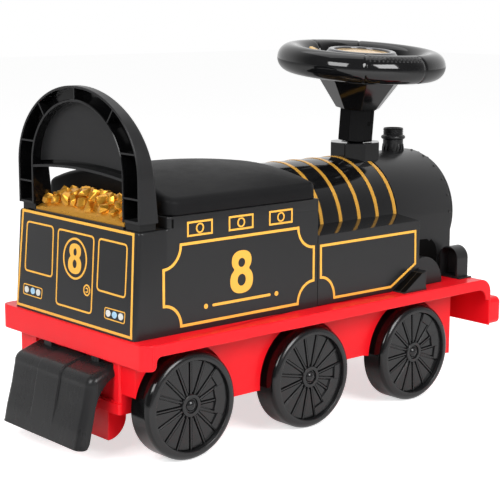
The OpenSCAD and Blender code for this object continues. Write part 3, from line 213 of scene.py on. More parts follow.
def make_finishes(colours):
    """All finishes of the train"""
    FINISHES["grain"] = grain_group()
    FINISHES["marks"] = marks_group()
    black, gloss, wheel = (tuple(entry) for entry in (colours.satin_black, colours.gloss_black,
                                                      colours.wheel_black))
    red, gold, coal = (tuple(entry) for entry in (colours.red, colours.print_gold, colours.coal_gold))
    make_finish("satin_black", black, 1.4, (0.29, 0.33), 1500.0, 0.035, specular=0.33, marks=(90.0, 0.1))
    make_finish("seat_satin", dim(black, 0.8), 1.3, (0.42, 0.5), 1300.0, 0.14, specular=0.05)
    make_finish("hoop_satin", black, 1.4, (0.34, 0.44), 1500.0, 0.06, specular=0.25)
    make_finish("guard_satin", black, 1.4, (0.26, 0.4), 1500.0, 0.05, specular=0.25, marks=(55.0, 0.05))
    make_finish("gloss_black", gloss, 1.5, (0.06, 0.13), 300.0, 0.012)
    make_finish("tank_black", black, 1.4, (0.29, 0.32), 1500.0, 0.03, specular=0.36, marks=(90.0, 0.1))
    polish_top(FINISHES["tank_black"], 0.09)
    # Painted shade: the column takes a darker, less reflective copy of the gloss black, for the dark
    # reflections it sits in
    make_finish("column_shade_black", dim(gloss, 0.7), 1.5, (0.08, 0.16), 300.0, 0.012, specular=0.07)
    # The channel black is the hoop's inner gloss black, darkened further with painted shade for the
    # channel's depth
    make_finish("channel_gloss_and_shade_black", (0.0026, 0.0026, 0.0028), 1.5, (0.1, 0.2), 300.0, 0.02, specular=0.25)
    # Painted shade: a dull, near-black finish laid in slots, holes and pockets where only shade falls
    make_finish("hollow_shade_black", (0.0016, 0.0016, 0.0016), 1.5, (0.6, 0.7), 900.0, 0.05, specular=0.05)
    make_finish("wheel_black", wheel, 1.4, (0.2, 0.3), 900.0, 0.04, specular=0.42)
    # Painted shade: the treads take a darker copy of the wheel black, as they turn away from the light
    make_finish("tread_shade_black", dim(wheel, 0.3), 1.4, (0.11, 0.17), 900.0, 0.02, specular=0.36)
    make_finish("red_plastic", red, 0.93, (0.28, 0.32), 700.0, 0.03, specular=0.22)
    make_finish("print_gold", gold, 1.08, (0.32, 0.42), 2200.0, 0.05, specular=0.3)
    make_finish("band_gold", dim(gold, 0.8), 1.12, (0.16, 0.26), 1200.0, 0.04, metallic=0.35)
    make_finish("coal_gold", coal, 1.2, (0.27, 0.4), 500.0, 0.1, metallic=0.75, mottle=60.0)
    make_finish("button_gold", (0.74, 0.47, 0.16), 1.12, (0.16, 0.26), 700.0, 0.03, metallic=0.5)
    make_finish("trim_grey", (0.1, 0.1, 0.105), 1.3, (0.12, 0.2), 900.0, 0.03, metallic=0.5)
    make_finish("steel", (0.55, 0.55, 0.56), 1.1, (0.25, 0.4), 800.0, 0.04, metallic=1.0)
    make_finish("bush_grey", (0.32, 0.32, 0.33), 1.15, (0.4, 0.55), 900.0, 0.06)
    make_finish("lamp_white", (0.6, 0.6, 0.57), 1.15, (0.2, 0.3), 1500.0, 0.03)
    make_finish("lamp_blue", (0.32, 0.52, 0.68), 1.15, (0.2, 0.3), 1500.0, 0.03)
    make_finish("board_green", (0.02, 0.12, 0.05), 1.4, (0.3, 0.45), 900.0, 0.05)
    make_finish("speaker_metal", (0.4, 0.4, 0.41), 1.2, (0.3, 0.45), 900.0, 0.05, metallic=0.9)
    make_finish("cell_sleeve", (0.05, 0.09, 0.22), 1.3, (0.2, 0.32), 900.0, 0.03)
    make_finish("lens_clear", (0.82, 0.86, 0.88), 1.05, (0.05, 0.12), 400.0, 0.05)
    glass = FINISHES["lens_clear"].node_tree.nodes["Principled BSDF"]
    glass.inputs["Transmission Weight"].default_value = 0.7


# Mesh helpers, with the limits in metres or degrees that they share

WELD_REACH, SLIVER = 2e-6, 1e-7
SHARP_ANGLE, FLAT_ANGLE = 35.0, 0.6
BEVEL_STEPS, EVEN_WEIGHT = 3, 80
MITRE_LIMIT = 0.35


class Shape:
    """Points and faces of one piece, gathered before they become a mesh"""

    def __init__(self):
        self.points = []
        self.faces = []
        self.finish = []

    def add(self, points, faces, finish=0, place=None):
        """Takes in points and faces, moved by a matrix"""
        start = len(self.points)
        for point in points:
            point = Vector(point)
            self.points.append(place @ point if place else point)
        for face in faces:
            self.faces.append([start + index for index in face])
            self.finish.append(finish)

    def skin(self, rings, finish=0, place=None, loop=False):
        """Quads between closed rings of equally many points; finish is one index or one for each side"""
        count, rows, start = len(rings[0]), len(rings), len(self.points)
        kinds = list(finish) if isinstance(finish, (list, tuple)) else [finish] * count
        self.add([point for ring in rings for point in ring], [], 0, place)
        for row in range(rows if loop else rows - 1):
            here, there = start + row * count, start + (row + 1) % rows * count
            for side in range(count):
                after = (side + 1) % count
                self.faces.append([here + side, here + after, there + after, there + side])
                self.finish.append(kinds[side])
        if not loop:
            last = start + (rows - 1) * count
            self.faces += [[start + i for i in range(count)], [last + i for i in reversed(range(count))]]
            self.finish += [kinds[0], kinds[0]]

    def prism(self, outline, low, high, finish=0, place=None):
        """Straight prism between two heights over an outline of two-value points"""
        self.skin([at_height(outline, low), at_height(outline, high)], finish, place)

    def box(self, low, high, finish=0, place=None):
        """Block between two corners"""
        self.prism(rectangle(*low[:2], *high[:2]), low[2], high[2], finish, place)

    def lathe(self, profile, steps, finish=0, place=None):
        """Turns a closed profile of radius and height about Z"""
        rings = []
        for step in range(steps):
            turn = 2 * math.pi * step / steps
            rings.append([(r * math.cos(turn), r * math.sin(turn), z) for r, z in profile])
        self.skin(rings, finish, place, loop=True)


def arc(x, y, radius, start, end, steps, radius_y=None):
    """Points on an arc between two angles in degrees"""
    points = []
    for step in range(steps + 1):
        turn = math.radians(start + (end - start) * step / steps)
        points.append((x + radius * math.cos(turn), y + (radius_y or radius) * math.sin(turn)))
    return points


def rectangle(x0, y0, x1, y1):
    """Corners of a rectangle"""
    return [(x0, y0), (x1, y0), (x1, y1), (x0, y1)]


def at_height(outline, z):
    """Ring of an outline at a height"""
    return [(x, y, z) for x, y in outline]


def mirrored(side):
    """Outline from its left half, closed by the mirror image"""
    return side + [(x, -y) for x, y in reversed(side)]


def quarter(radius, steps):
    """Rise and inset of the points on a quarter round"""
    turns = [math.pi / 2 * step / steps for step in range(steps + 1)]
    return [(radius * math.sin(turn), radius * (1 - math.cos(turn))) for turn in turns]


def clip(value):
    """A value held between nought and one"""
    return min(1.0, max(0.0, value))


def spun(place, degrees):
    """A place turned about its own Z axis"""
    return place @ Matrix.Rotation(math.radians(degrees), 4, "Z")


def on_side(sign, y=0.0):
    """Place that stands a drawing of X and Z upright, facing the left or the right"""
    return Matrix(((1, 0, 0, 0), (0, 0, sign, y), (0, 1, 0, 0), (0, 0, 0, 1)))


def piece(name, shape, finishes, body, stands_for=(), smooth=SHARP_ANGLE, bevel=0.0, place=None):
    """One finished object from a shape, riding on a body"""
    mesh = bpy.data.meshes.new(name)
    mesh.from_pydata(shape.points, [], shape.faces)
    for finish in finishes:
        mesh.materials.append(FINISHES[finish])
    mesh.polygons.foreach_set("material_index", shape.finish)
    work = bmesh.new()
    work.from_mesh(mesh)
    bmesh.ops.remove_doubles(work, verts=work.verts, dist=WELD_REACH)
    bmesh.ops.dissolve_degenerate(work, edges=work.edges, dist=SLIVER)
    bmesh.ops.recalc_face_normals(work, faces=work.faces)
    work.to_mesh(mesh)
    work.free()
    mesh.shade_smooth()
    mesh.set_sharp_from_angle(angle=math.radians(smooth))
    thing = bpy.data.objects.new(name, mesh)
    bpy.context.scene.collection.objects.link(thing)
    if place is not None:
        thing.matrix_world = place
    if bevel:
        round_edges(thing, bevel, smooth)
    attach(thing, body)
    if stands_for:
        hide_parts(*stands_for)


def round_edges(thing, width, angle=SHARP_ANGLE, clamp=False):
    """Rounds the sharp edges of an object and evens its shading"""
    bevel = thing.modifiers.new("Rounded edges", "BEVEL")
    bevel.width = width
    bevel.segments = BEVEL_STEPS
    bevel.limit_method = "ANGLE"
    bevel.angle_limit = math.radians(angle)
    bevel.use_clamp_overlap = clamp
    even = thing.modifiers.new("Even shading", "WEIGHTED_NORMAL")
    even.keep_sharp = False
    even.weight = EVEN_WEIGHT


def dress(node, finish, edge=0.0, clamp=False, flat=False):
    """Gives a CAD node its finish and, where asked, rounded edges on faces made whole first"""
    thing = frame["nodes"][node]
    thing.data.materials.clear()
    thing.data.materials.append(FINISHES[finish])
    if edge:
        weld = thing.modifiers.new("Weld", "WELD")
        weld.merge_threshold = WELD_REACH
        if flat:
            whole = thing.modifiers.new("Whole faces", "DECIMATE")
            whole.decimate_type = "DISSOLVE"
            whole.angle_limit = math.radians(FLAT_ANGLE)
        round_edges(thing, edge, clamp=clamp)


def joint(name):
    """The record of one joint"""
    return next(entry for entry in frame["joints"] if entry["name"] == name)


# Printed shapes: loops of two-value points in millimetres, filled between them

def offset_loop(points, distance):
    """A closed loop moved outward by a distance, with mitred corners"""
    count = len(points)
    area = sum(points[i][0] * points[(i + 1) % count][1] - points[(i + 1) % count][0] * points[i][1]
               for i in range(count))
    side = 1.0 if area > 0 else -1.0
    moved = []
    for i in range(count):
        before, here, after = (Vector(points[j % count]) for j in (i - 1, i, i + 1))
        first, second = (here - before).normalized(), (after - here).normalized()
        normal_a = Vector((first.y, -first.x)) * side
        normal_b = Vector((second.y, -second.x)) * side
        mitre = normal_a + normal_b
        mitre = mitre / max(mitre.length_squared / 2, MITRE_LIMIT)
        moved.append(tuple(here + mitre * distance))
    return moved


def frame_loops(points, width):
    """The two loops of a line of some width along a closed path"""
    return [offset_loop(points, width / 2), offset_loop(points, -width / 2)]


def rounded(points, radius, steps=5):
    """A closed outline with its corners rounded"""
    result, count = [], len(points)
    for i in range(count):
        before, here, after = (Vector(points[j % count]) for j in (i - 1, i, i + 1))
        start = here + (before - here).normalized() * radius
        end = here + (after - here).normalized() * radius
        for step in range(steps + 1):
            share = step / steps
            bend = (1 - share) ** 2 * start + 2 * share * (1 - share) * here + share ** 2 * end
            result.append(tuple(bend))
    return result


def ellipse(x, y, radius_x, radius_y, steps=40):
    """Closed loop of an ellipse"""
    return arc(x, y, radius_x, 0, 360 - 360 / steps, steps - 1, radius_y)


def ring_loops(x, y, radius, width):
    """The two loops of a round ring"""
    return [ellipse(x, y, radius, radius), ellipse(x, y, radius - width, radius - width)]


LOBE_POWER = 2.3


def figure_eight(x, top, bottom, upper, lower, waist, counters):
    """Loops of a running number eight: its outline from two lobes, and its two counters"""
    lobes = ((*upper, top - upper[1]), (*lower, lower[1] - bottom))
    right, steps = [], 48
    for step in range(steps + 1):
        y = bottom + (top - bottom) * (0.5 - 0.5 * math.cos(math.pi * step / steps))
        width = waist if lower[1] < y < upper[1] else 0.0
        for half, middle, rise in lobes:
            share = 1 - abs((y - middle) / rise) ** LOBE_POWER
            if share > 0:
                width = max(width, half * share ** (1 / LOBE_POWER))
        right.append((x + width, y))
    outline = right + [(2 * x - px, py) for px, py in reversed(right[1:-1])]
    return [outline] + [ellipse(x, y, half, rise) for y, half, rise in counters]


def print_piece(name, groups, place, finishes, wrap=None):
    """Printed loops as one thin raised piece; each group has a finish index; wrap bends points"""
    rise = bpy.context.scene.train_sizes.print_rise
    shape = Shape()
    for finish, loops in groups:
        curve = bpy.data.curves.new(name, "CURVE")
        curve.dimensions = "2D"
        curve.fill_mode = "BOTH"
        curve.extrude = 0.5
        for loop in loops:
            spline = curve.splines.new("POLY")
            spline.points.add(len(loop) - 1)
            for target, (x, y) in zip(spline.points, loop):
                target.co = (x, y, 0.0, 1.0)
            spline.use_cyclic_u = True
        helper = bpy.data.objects.new(name, curve)
        bpy.context.scene.collection.objects.link(helper)
        filled = helper.evaluated_get(bpy.context.evaluated_depsgraph_get()).to_mesh()
        points = [Vector((v.co.x * MM, v.co.y * MM, rise if v.co.z > 0 else 0.0))
                  for v in filled.vertices]
        if wrap:
            points = [wrap(point) for point in points]
        shape.add(points, [list(p.vertices) for p in filled.polygons], finish, place)
        bpy.data.objects.remove(helper)
        bpy.data.curves.remove(curve)
    piece(name, shape, finishes, "locomotive", smooth=30.0)


# Operators, one for each group of like pieces

STEEL_NODES = ("rear_axle", "middle_axle", "front_axle", "body_screws", "keel_screws", "backrest_screws",
               "column_washer", "column_screw", "housing_screws")


class TRAIN_OT_mouldings(bpy.types.Operator):
    """Give the plain mouldings and fittings their finishes and rounded edges"""
    bl_idname = "train.mouldings"
    bl_label = "Mouldings"

    def execute(self, context):
        make_finishes(context.scene.train_colours)
        edge, red_edge = context.scene.train_sizes.edge, context.scene.train_sizes.red_edge
        for finish, width, how, nodes in (
                ("red_plastic", red_edge, {}, ("chassis_deck", "tipping_foot")),
                ("red_plastic", red_edge, {"clamp": True}, ("keel", "buffer_beam")),
                ("tank_black", edge, {}, ("side_tank_left", "side_tank_right")),
                ("satin_black", edge * 0.7, {"flat": True}, ("cylinder_cover_left", "cylinder_cover_right")),
                ("satin_black", edge, {"clamp": True}, ("lamp_housing_left", "lamp_housing_right")),
                ("satin_black", edge * 0.6, {"clamp": True}, ("smokebox_door",)),
                ("satin_black", edge, {}, ("storage_tray",)),
                ("gloss_black", edge * 0.7, {}, ("boiler_shell", "steering_housing")),
                # The column's finish is the gloss black with painted shade
                ("column_shade_black", edge * 0.7, {}, ("steering_column",)),
                ("button_gold", 0.0, {}, ("door_handle",)),
                ("wheel_black", 0.0, {}, ("axle_caps", "axle_spacers")),
                ("steel", 0.0, {}, STEEL_NODES),
                ("bush_grey", 0.0, {}, ("steering_bush",)),
                ("lens_clear", 0.0, {}, ("lamp_lenses",)),
                ("board_green", 0.0, {}, ("circuit_board",)),
                ("speaker_metal", 0.0, {}, ("speaker",)),
                ("cell_sleeve", 0.0, {}, ("battery_cells",))):
            for node in nodes:
                dress(node, finish, width, **how)
        return {"FINISHED"}


# Turn of the wheels on each axle in degrees, and the sectors of the balance weight with the
# distance from the axle at which each starts
WHEEL_TURNS = {"rear": 0.0, "middle": -35.0, "front": 25.0}
WEIGHT_SECTORS = ((-2, 0.0378), (-1, 0.0325), (0, 0.0325), (1, 0.0378))


def wheel_shape(radius, width, sizes, outward, turn):
    """Half-hollow wheel about Y: rounded tread, ribbed recessed face, balance weight and hub ring"""
    shape = Shape()
    recess, bore, hub, pocket, wall = radius - 0.010, 0.00405, 0.0123, 0.0081, 0.003
    web_back, web_face, pocket_floor = width - 0.011, width - 0.006, width - 0.0096
    foot_round, lip_round, hub_round, pocket_round = 0.0015, 0.0012, 0.0009, 0.0007
    tread_round, tread_fall, sink, rib_rise, weight_rise = 0.0075, 0.0085, 0.001, 0.0011, 0.0019
    floor, hub_top, shoulder = web_face - 0.0016, width - 0.0036, width - tread_fall
    profile = [(bore, 0.0), (hub, 0.0), (hub, web_back), (recess, web_back), (recess, 0.0),
               (recess + wall, 0.0), (recess + wall, shoulder), (radius - wall, shoulder),
               (radius - wall, 0.0)]
    profile += arc(radius - foot_round, foot_round, foot_round, -90, 0, 3)
    profile += arc(radius - tread_round, shoulder, tread_round, 0, 90, 10, tread_fall)
    profile += arc(recess + lip_round, width - lip_round, lip_round, 90, 180, 4)
    profile += [(recess, floor), (hub, floor)]
    profile += arc(hub - hub_round, hub_top - hub_round, hub_round, 0, 90, 3)
    profile += arc(pocket + pocket_round, hub_top - pocket_round, pocket_round, 90, 180, 3)
    profile += [(pocket, pocket_floor), (bore, pocket_floor)]
    # Faces of the tread, which take the wheel black darkened with painted shade
    tread = [1 if r > radius - 0.0042 and z < width - 0.003 else 0 for r, z in profile]
    place = spun(on_side(outward), turn)
    shape.lathe(profile, 128, tread, place)
    half, sector = sizes.rib_width / 2, 360 / sizes.rib_count
    gap, inner, outer = half + sizes.rib_groove, hub + 0.0018, recess - 0.0009
    edge_in, edge_out = (math.degrees(math.asin(gap / reach)) for reach in (inner, outer))
    panel = arc(0, 0, inner, edge_in, sector - edge_in, 3) + arc(0, 0, outer, sector - edge_out, edge_out, 6)
    for index in range(sizes.rib_count):
        spin = spun(place, sector * index)
        shape.box((hub - sink, -half, floor - sink), (recess + sink, half, web_face + rib_rise), 0, spin)
        shape.prism(panel, floor - sink, web_face, 0, spin)
    for index, near in WEIGHT_SECTORS:
        edge = near / math.cos(math.radians(sector / 2))
        outline = arc(0, 0, edge, 0, sector, 1) + arc(0, 0, recess - 0.0006, sector, 0, 8)
        shape.prism(outline, floor, web_face + weight_rise, 0, spun(place, sector * index))
    return shape


class TRAIN_OT_wheels(bpy.types.Operator):
    """Turn the six ribbed wheels and put them on their axles"""
    bl_idname = "train.wheels"
    bl_label = "Wheels"

    def execute(self, context):
        sizes = context.scene.train_sizes
        for side, outward in (("left", 1.0), ("right", -1.0)):
            for axle, turn in WHEEL_TURNS.items():
                node = f"{axle}_{side}_wheel"
                low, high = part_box(node)
                inner = low.y if outward > 0 else high.y
                place = Matrix.Translation(((low.x + high.x) / 2, inner, (low.z + high.z) / 2))
                shape = wheel_shape((high.z - low.z) / 2, high.y - low.y, sizes, outward, turn)
                # The treads take the wheel black darkened with painted shade
                piece(f"{axle}_{side}_wheel_moulding", shape, ("wheel_black", "tread_shade_black"), node + "_body",
                      (node,), 38.0, 0.0004, place)
        return {"FINISHED"}


# Rounding of the body's rear corners, and how far its rear panel leans over its height
REAR_CORNER = 0.0055
REAR_LEAN = 0.0084
REAR_HEIGHT = 0.111


class TRAIN_OT_body(bpy.types.Operator):
    """Mould the bunker and the seat box with a leaning rear and soft corners"""
    bl_idname = "train.body"
    bl_label = "Body"

    def execute(self, context):
        low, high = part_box("body_shell")
        coal_low, coal_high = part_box("coal_load")
        deck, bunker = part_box("chassis_deck")[1].z, coal_low.z
        box_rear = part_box("seat_lid")[0].x - 0.0005
        half, wall, soft, crisp, blend, box_corner = high.y, 0.003, 0.0025, 0.0012, 0.004, 0.0045
        kerb_rear, kerb_front, kerb_rise = coal_low.x - 0.0014, coal_low.x + 0.003, 0.0024
        slit_rear, slit_front, slit_deep, slit_proud = box_rear + 0.0042, box_rear + 0.0068, 0.001, 0.00015

        def bunker_ring(z, inset, thick=0.0):
            """Ring at a height; the inset draws in the bunker's edge alone"""
            rear = low.x + REAR_LEAN * (z - deck) / (bunker - deck)
            radius = max(REAR_CORNER - inset - thick, crisp)
            side = [(high.x - thick, half - thick - crisp)]
            backs = [box_rear - back for back in (-0.03, -0.002, 0.0, 0.0013, 0.0026, blend, 0.012)]
            for x in [high.x - thick - crisp] + backs:
                side.append((x, half - thick - inset * clip((box_rear - x) / blend)))
            side += arc(rear + thick + inset + radius, half - thick - inset - radius, radius, 90, 180, 10)
            return at_height(mirrored(side), z)

        def box_ring(z, thick):
            """Ring of the seat box at a height"""
            x0, x1, y1 = box_rear + thick, high.x - thick, half - thick
            corner = max(box_corner - thick, crisp)
            side = arc(x1 - crisp, y1 - crisp, crisp, 0, 90, 3)
            side += arc(x0 + corner, y1 - corner, corner, 90, 180, 6)
            return at_height(mirrored(side), z)

        shape = Shape()
        rings = [bunker_ring(deck, 0.0)]
        rings += [bunker_ring(bunker - soft + rise, inset) for rise, inset in quarter(soft, 5)]
        rings += [bunker_ring(bunker, soft, wall), bunker_ring(deck, 0.0, wall)]
        shape.skin(rings, loop=True)
        rings = [box_ring(bunker - 0.0001, 0.0)]
        rings += [box_ring(high.z - crisp + rise, inset) for rise, inset in quarter(crisp, 4)]
        rings += [box_ring(high.z, wall), box_ring(bunker - 0.002, wall)]
        shape.skin(rings, loop=True)
        shape.box((low.x + REAR_LEAN + soft, soft - half, bunker - wall),
                  (box_rear + wall, half - soft, bunker - 0.00005))
        shape.box((kerb_rear, coal_low.y, bunker - 0.001), (kerb_front, coal_high.y, bunker + kerb_rise))
        # A dark slit of painted shade on each side at the seat box's rear corner
        for sign in (1, -1):
            ends = sorted((sign * (half - slit_deep), sign * (half + slit_proud)))
            shape.box((slit_rear, ends[0], bunker + 0.0008), (slit_front, ends[1], high.z - 0.0025), 1)
        piece("body_moulding", shape, ("satin_black", "hollow_shade_black"), "locomotive",
              ("body_shell",), 32.0)
        return {"FINISHED"}


class TRAIN_OT_backrest(bpy.types.Operator):
    """Mould the hoop backrest: an open channel with ribs, a sunk panel and an arched lip"""
    bl_idname = "train.backrest"
    bl_label = "Backrest hoop"

    def execute(self, context):
        sizes = context.scene.train_sizes
        low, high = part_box("backrest_hoop")
        rear, front, half, top = low.x, high.x, high.y, high.z
        wall, rise, band, band_top, edge = sizes.hoop_wall, 0.089, 0.029, 0.017, 0.0007
        spring, leg_low, foot_depth = top - rise, low.z + 0.008, front - rear
        inner_w, inner_h = half - band, rise - band_top
        low_rib, leg_rib, peg_in, peg_out, peg_high = 0.025, -0.02, 0.003, 0.0079, 0.0105
        shape = Shape()

        def outer_at(turn):
            """Point on the hoop's outer edge"""
            return Vector((half * math.cos(turn), spring + rise * math.sin(turn)))

        def inner_at(turn):
            """Point on the hoop's inner edge"""
            return Vector((inner_w * math.cos(turn), spring + inner_h * math.sin(turn)))

        def face(z):
            """Front face of the leaning hoop at a height"""
            lean = (sizes.hoop_top_depth - foot_depth) * clip((z - leg_low) / (top - leg_low))
            return rear + foot_depth + lean

        def rib(outer, inner, half_thick=0.00105):
            """Rib across the channel in its gloss black with painted shade, with a tip in the hoop's satin
            """
            way = (inner - outer).normalized()
            side = Vector((-way.y, way.x)) * half_thick
            a, b = outer + way * wall * 0.6, inner - way * wall * 0.6
            ring = [a - side, b - side, b + side, a + side]
            shape.skin([[(rear + 0.0006, *p) for p in ring],
                        [(face(p.y) - wall * 0.8, *p) for p in ring]], 1)
            side = side * 0.8
            ring = [a - side, b - side, b + side, a + side]
            shape.skin([[(rear + back, *p) for p in ring] for back in (0.0003, 0.0012)])

        stations = []
        for step in range(3):
            z = leg_low + (spring - leg_low) * step / 3
            stations.append((Vector((half, z)), Vector((inner_w, z))))
        legs = [(Vector((-o.x, o.y)), Vector((-i.x, i.y))) for o, i in reversed(stations)]
        stations += [(outer_at(math.pi * i / 60), inner_at(math.pi * i / 60)) for i in range(61)]
        rings = []
        for outer, inner in stations + legs:
            width = (inner - outer).length
            way = (inner - outer) / width
            corner = min(sizes.hoop_round, width / 3)
            rounds = arc(corner, -corner, corner, 180, 90, 6)
            rounds += arc(width - corner / 2, -corner / 2, corner / 2, 90, 0, 5)
            section = [(0.0, edge, 0)] + [(d, x, 1) for d, x in rounds]
            section += [(width, edge, 0), (width - edge, 0.0, 0), (width - wall + edge, 0.0, 0),
                        (width - wall, edge, 0), (width - wall, -wall, 1), (wall, -wall, 1),
                        (wall, edge, 0), (wall - edge, 0.0, 0), (edge, 0.0, 0)]
            ring = []
            for d, x, ahead in section:
                spot = outer + way * d
                ring.append((x + (face(spot.y) if ahead else rear), *spot))
            rings.append(ring)
        kinds = [0] * len(rings[0])
        # The sides of the section that lie in the channel, in its gloss black with painted shade
        for side in (-10, -7, -6, -5, -4):
            kinds[side] = 1
        shape.skin(rings, kinds)
        rib(outer_at(math.pi / 2), inner_at(math.pi / 2))
        side_ribs = ((outer_at(math.radians(51.3)), inner_at(math.radians(46.6))),
                     (outer_at(math.asin(low_rib / rise)), inner_at(math.asin(low_rib / inner_h))),
                     (Vector((half, spring + leg_rib)), Vector((inner_w, spring + leg_rib))))
        for sign in (1, -1):
            for outer, inner in side_ribs:
                rib(Vector((outer.x * sign, outer.y)), Vector((inner.x * sign, inner.y)))
            ends = sorted(((half - 0.001) * sign, (inner_w + 0.001) * sign))
            shape.box((rear + 0.0008, ends[0], leg_low), (front - 0.004, ends[1], leg_low + wall))
            # A dark block under each leg in the channel black: a black foot, with painted shade beneath it
            ends = sorted(((half - 0.0035) * sign, (inner_w + 0.0006) * sign))
            shape.box((rear + 0.0034, ends[0], low.z + 0.0001),
                      (front - 0.003, ends[1], leg_low + 0.0005), 1)
            peg = Matrix.Translation(((rear + front) / 2, (half - band / 2) * sign, low.z))
            shape.lathe(rectangle(peg_in, 0.0, peg_out, peg_high), 32, 0, peg)
        panel_z, panel_rise, sunk, drop, lip_wall = spring + 0.003, 0.005, rear + 0.011, 0.007, 0.0027
        back, lip_rear = sunk + 0.003, rear + 0.0006
        lower = [(y * inner_w / 16, panel_z + panel_rise * (1 - (y / 16) ** 2)) for y in range(-16, 17)]
        turn = math.degrees(math.asin((panel_z - spring) / inner_h))
        outline = lower[1:-1] + arc(0, spring, inner_w + 0.0006, turn, 180 - turn, 40, inner_h + 0.0006)
        shape.skin([[(x, *p) for p in outline] for x in (sunk, back)])
        lip = [(y, z - drop) for y, z in lower]
        shape.skin([[(lip_rear, y, z), (back, y, z), (back, y, z + lip_wall), (lip_rear, y, z + lip_wall)]
                    for y, z in lip])
        # A dark strip of painted shade closes the gap between the sunk panel and the lip
        strip = [(y, z + 0.001) for y, z in lip + lower[::-1]]
        shape.skin([[(x, *p) for p in strip] for x in (back, back + 0.0012)], 1)
        piece("backrest_moulding", shape, ("hoop_satin", "channel_gloss_and_shade_black"), "locomotive",
              ("backrest_hoop",), 40.0)
        return {"FINISHED"}


# Distance of each row of coal from the rear of the load, how far lumps stray, and their shape
COAL_ROWS = (0.0068, 0.0142, 0.0208, 0.0262)
COAL_DRIFT, COAL_SPREAD = 0.22, 0.0016
COAL_SEED = 8
LUMP_POINTS = 10
GOLDEN_TURN = 2.39996
FULL_TURN = 6.28


class TRAIN_OT_coal(bpy.types.Operator):
    """Heap the gold coal: faceted lumps on a bed that slopes up from a low wall at the rear"""
    bl_idname = "train.coal"
    bl_label = "Coal load"

    def execute(self, context):
        sizes = context.scene.train_sizes
        low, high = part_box("coal_load")
        draw = random.Random(COAL_SEED)
        shape = Shape()
        base, half, lump, crown = low.z + 0.0002, high.y - 0.0004, sizes.coal_lump, high.z + 0.0045
        rise, wall, run = crown - base - lump * 0.36, 0.0082, 0.017
        foot, front = low.x + 0.0002, high.x - 0.0004

        def bed(x, y):
            """Height of the bed under the lumps: a low wall at the rear, then a slope up to the seat box"""
            swell = 1 - 0.72 * (abs(y) / half) ** 3.5
            climb = clip((x - low.x) / run) ** 0.8
            return base + wall * (0.55 + 0.45 * swell) + (rise - wall) * swell * climb

        rows = []
        for step in range(41):
            y = -half + 2 * half * step / 40
            edge = bed(low.x, y) + 0.0004 * math.sin(step * 1.9) + 0.0003 * math.sin(step * 0.7 + 1)
            rows.append([(foot, y, base), (foot + 0.0003, y, edge - 0.0008), (foot + 0.0012, y, edge),
                         (low.x + 0.006, y, bed(low.x + 0.005, y)),
                         (low.x + 0.012, y, bed(low.x + 0.011, y)), (low.x + run, y, bed(low.x + run, y)),
                         (front, y, bed(high.x, y)), (front, y, base)])
        shape.skin(rows)
        places = []
        for row, ahead in enumerate(COAL_ROWS):
            count = sizes.coal_count + (row % 2)
            for column in range(count):
                share = (column + 0.5 + draw.uniform(-COAL_DRIFT, COAL_DRIFT)) / count
                x = low.x + ahead + draw.uniform(-COAL_SPREAD, COAL_SPREAD)
                places.append((x, (share * 2 - 1) * (half - 0.003)))
        for x, y in places:
            size = lump * draw.uniform(0.72, 1.2)
            z = bed(x, y) + size * draw.uniform(-0.06, 0.1)
            turn = Matrix.Rotation(draw.uniform(0, FULL_TURN), 4, "X")
            turn = turn @ Matrix.Rotation(draw.uniform(0, FULL_TURN), 4, "Z")
            work = bmesh.new()
            for index in range(LUMP_POINTS):
                height = 1 - 2 * (index + 0.5) / LUMP_POINTS
                around = GOLDEN_TURN * index + draw.uniform(-0.4, 0.4)
                wide = math.sqrt(1 - height * height)
                point = Vector((wide * math.cos(around), wide * math.sin(around) * 0.8, height * 0.72))
                point = turn @ (point * size * draw.uniform(0.44, 0.56)) + Vector((x, y, z))
                point.x = min(max(point.x, low.x + 0.0008), front)
                point.y = min(max(point.y, -half), half)
                point.z = min(max(point.z, base), crown)
                work.verts.new(point)
            bmesh.ops.convex_hull(work, input=work.verts)
            loose = [v for v in work.verts if not v.link_faces]
            bmesh.ops.delete(work, geom=loose, context="VERTS")
            bmesh.ops.dissolve_limit(work, angle_limit=math.radians(20), verts=work.verts, edges=work.edges)
            bmesh.ops.bevel(work, geom=work.edges, offset=size * 0.035, segments=2, profile=0.6,
                            affect="EDGES", clamp_overlap=True)
            work.verts.index_update()
            shape.add([v.co.copy() for v in work.verts], [[v.index for v in f.verts] for f in work.faces])
            work.free()
        piece("coal_lumps", shape, ("coal_gold",), "locomotive", ("coal_load",), 28.0)
        return {"FINISHED"}


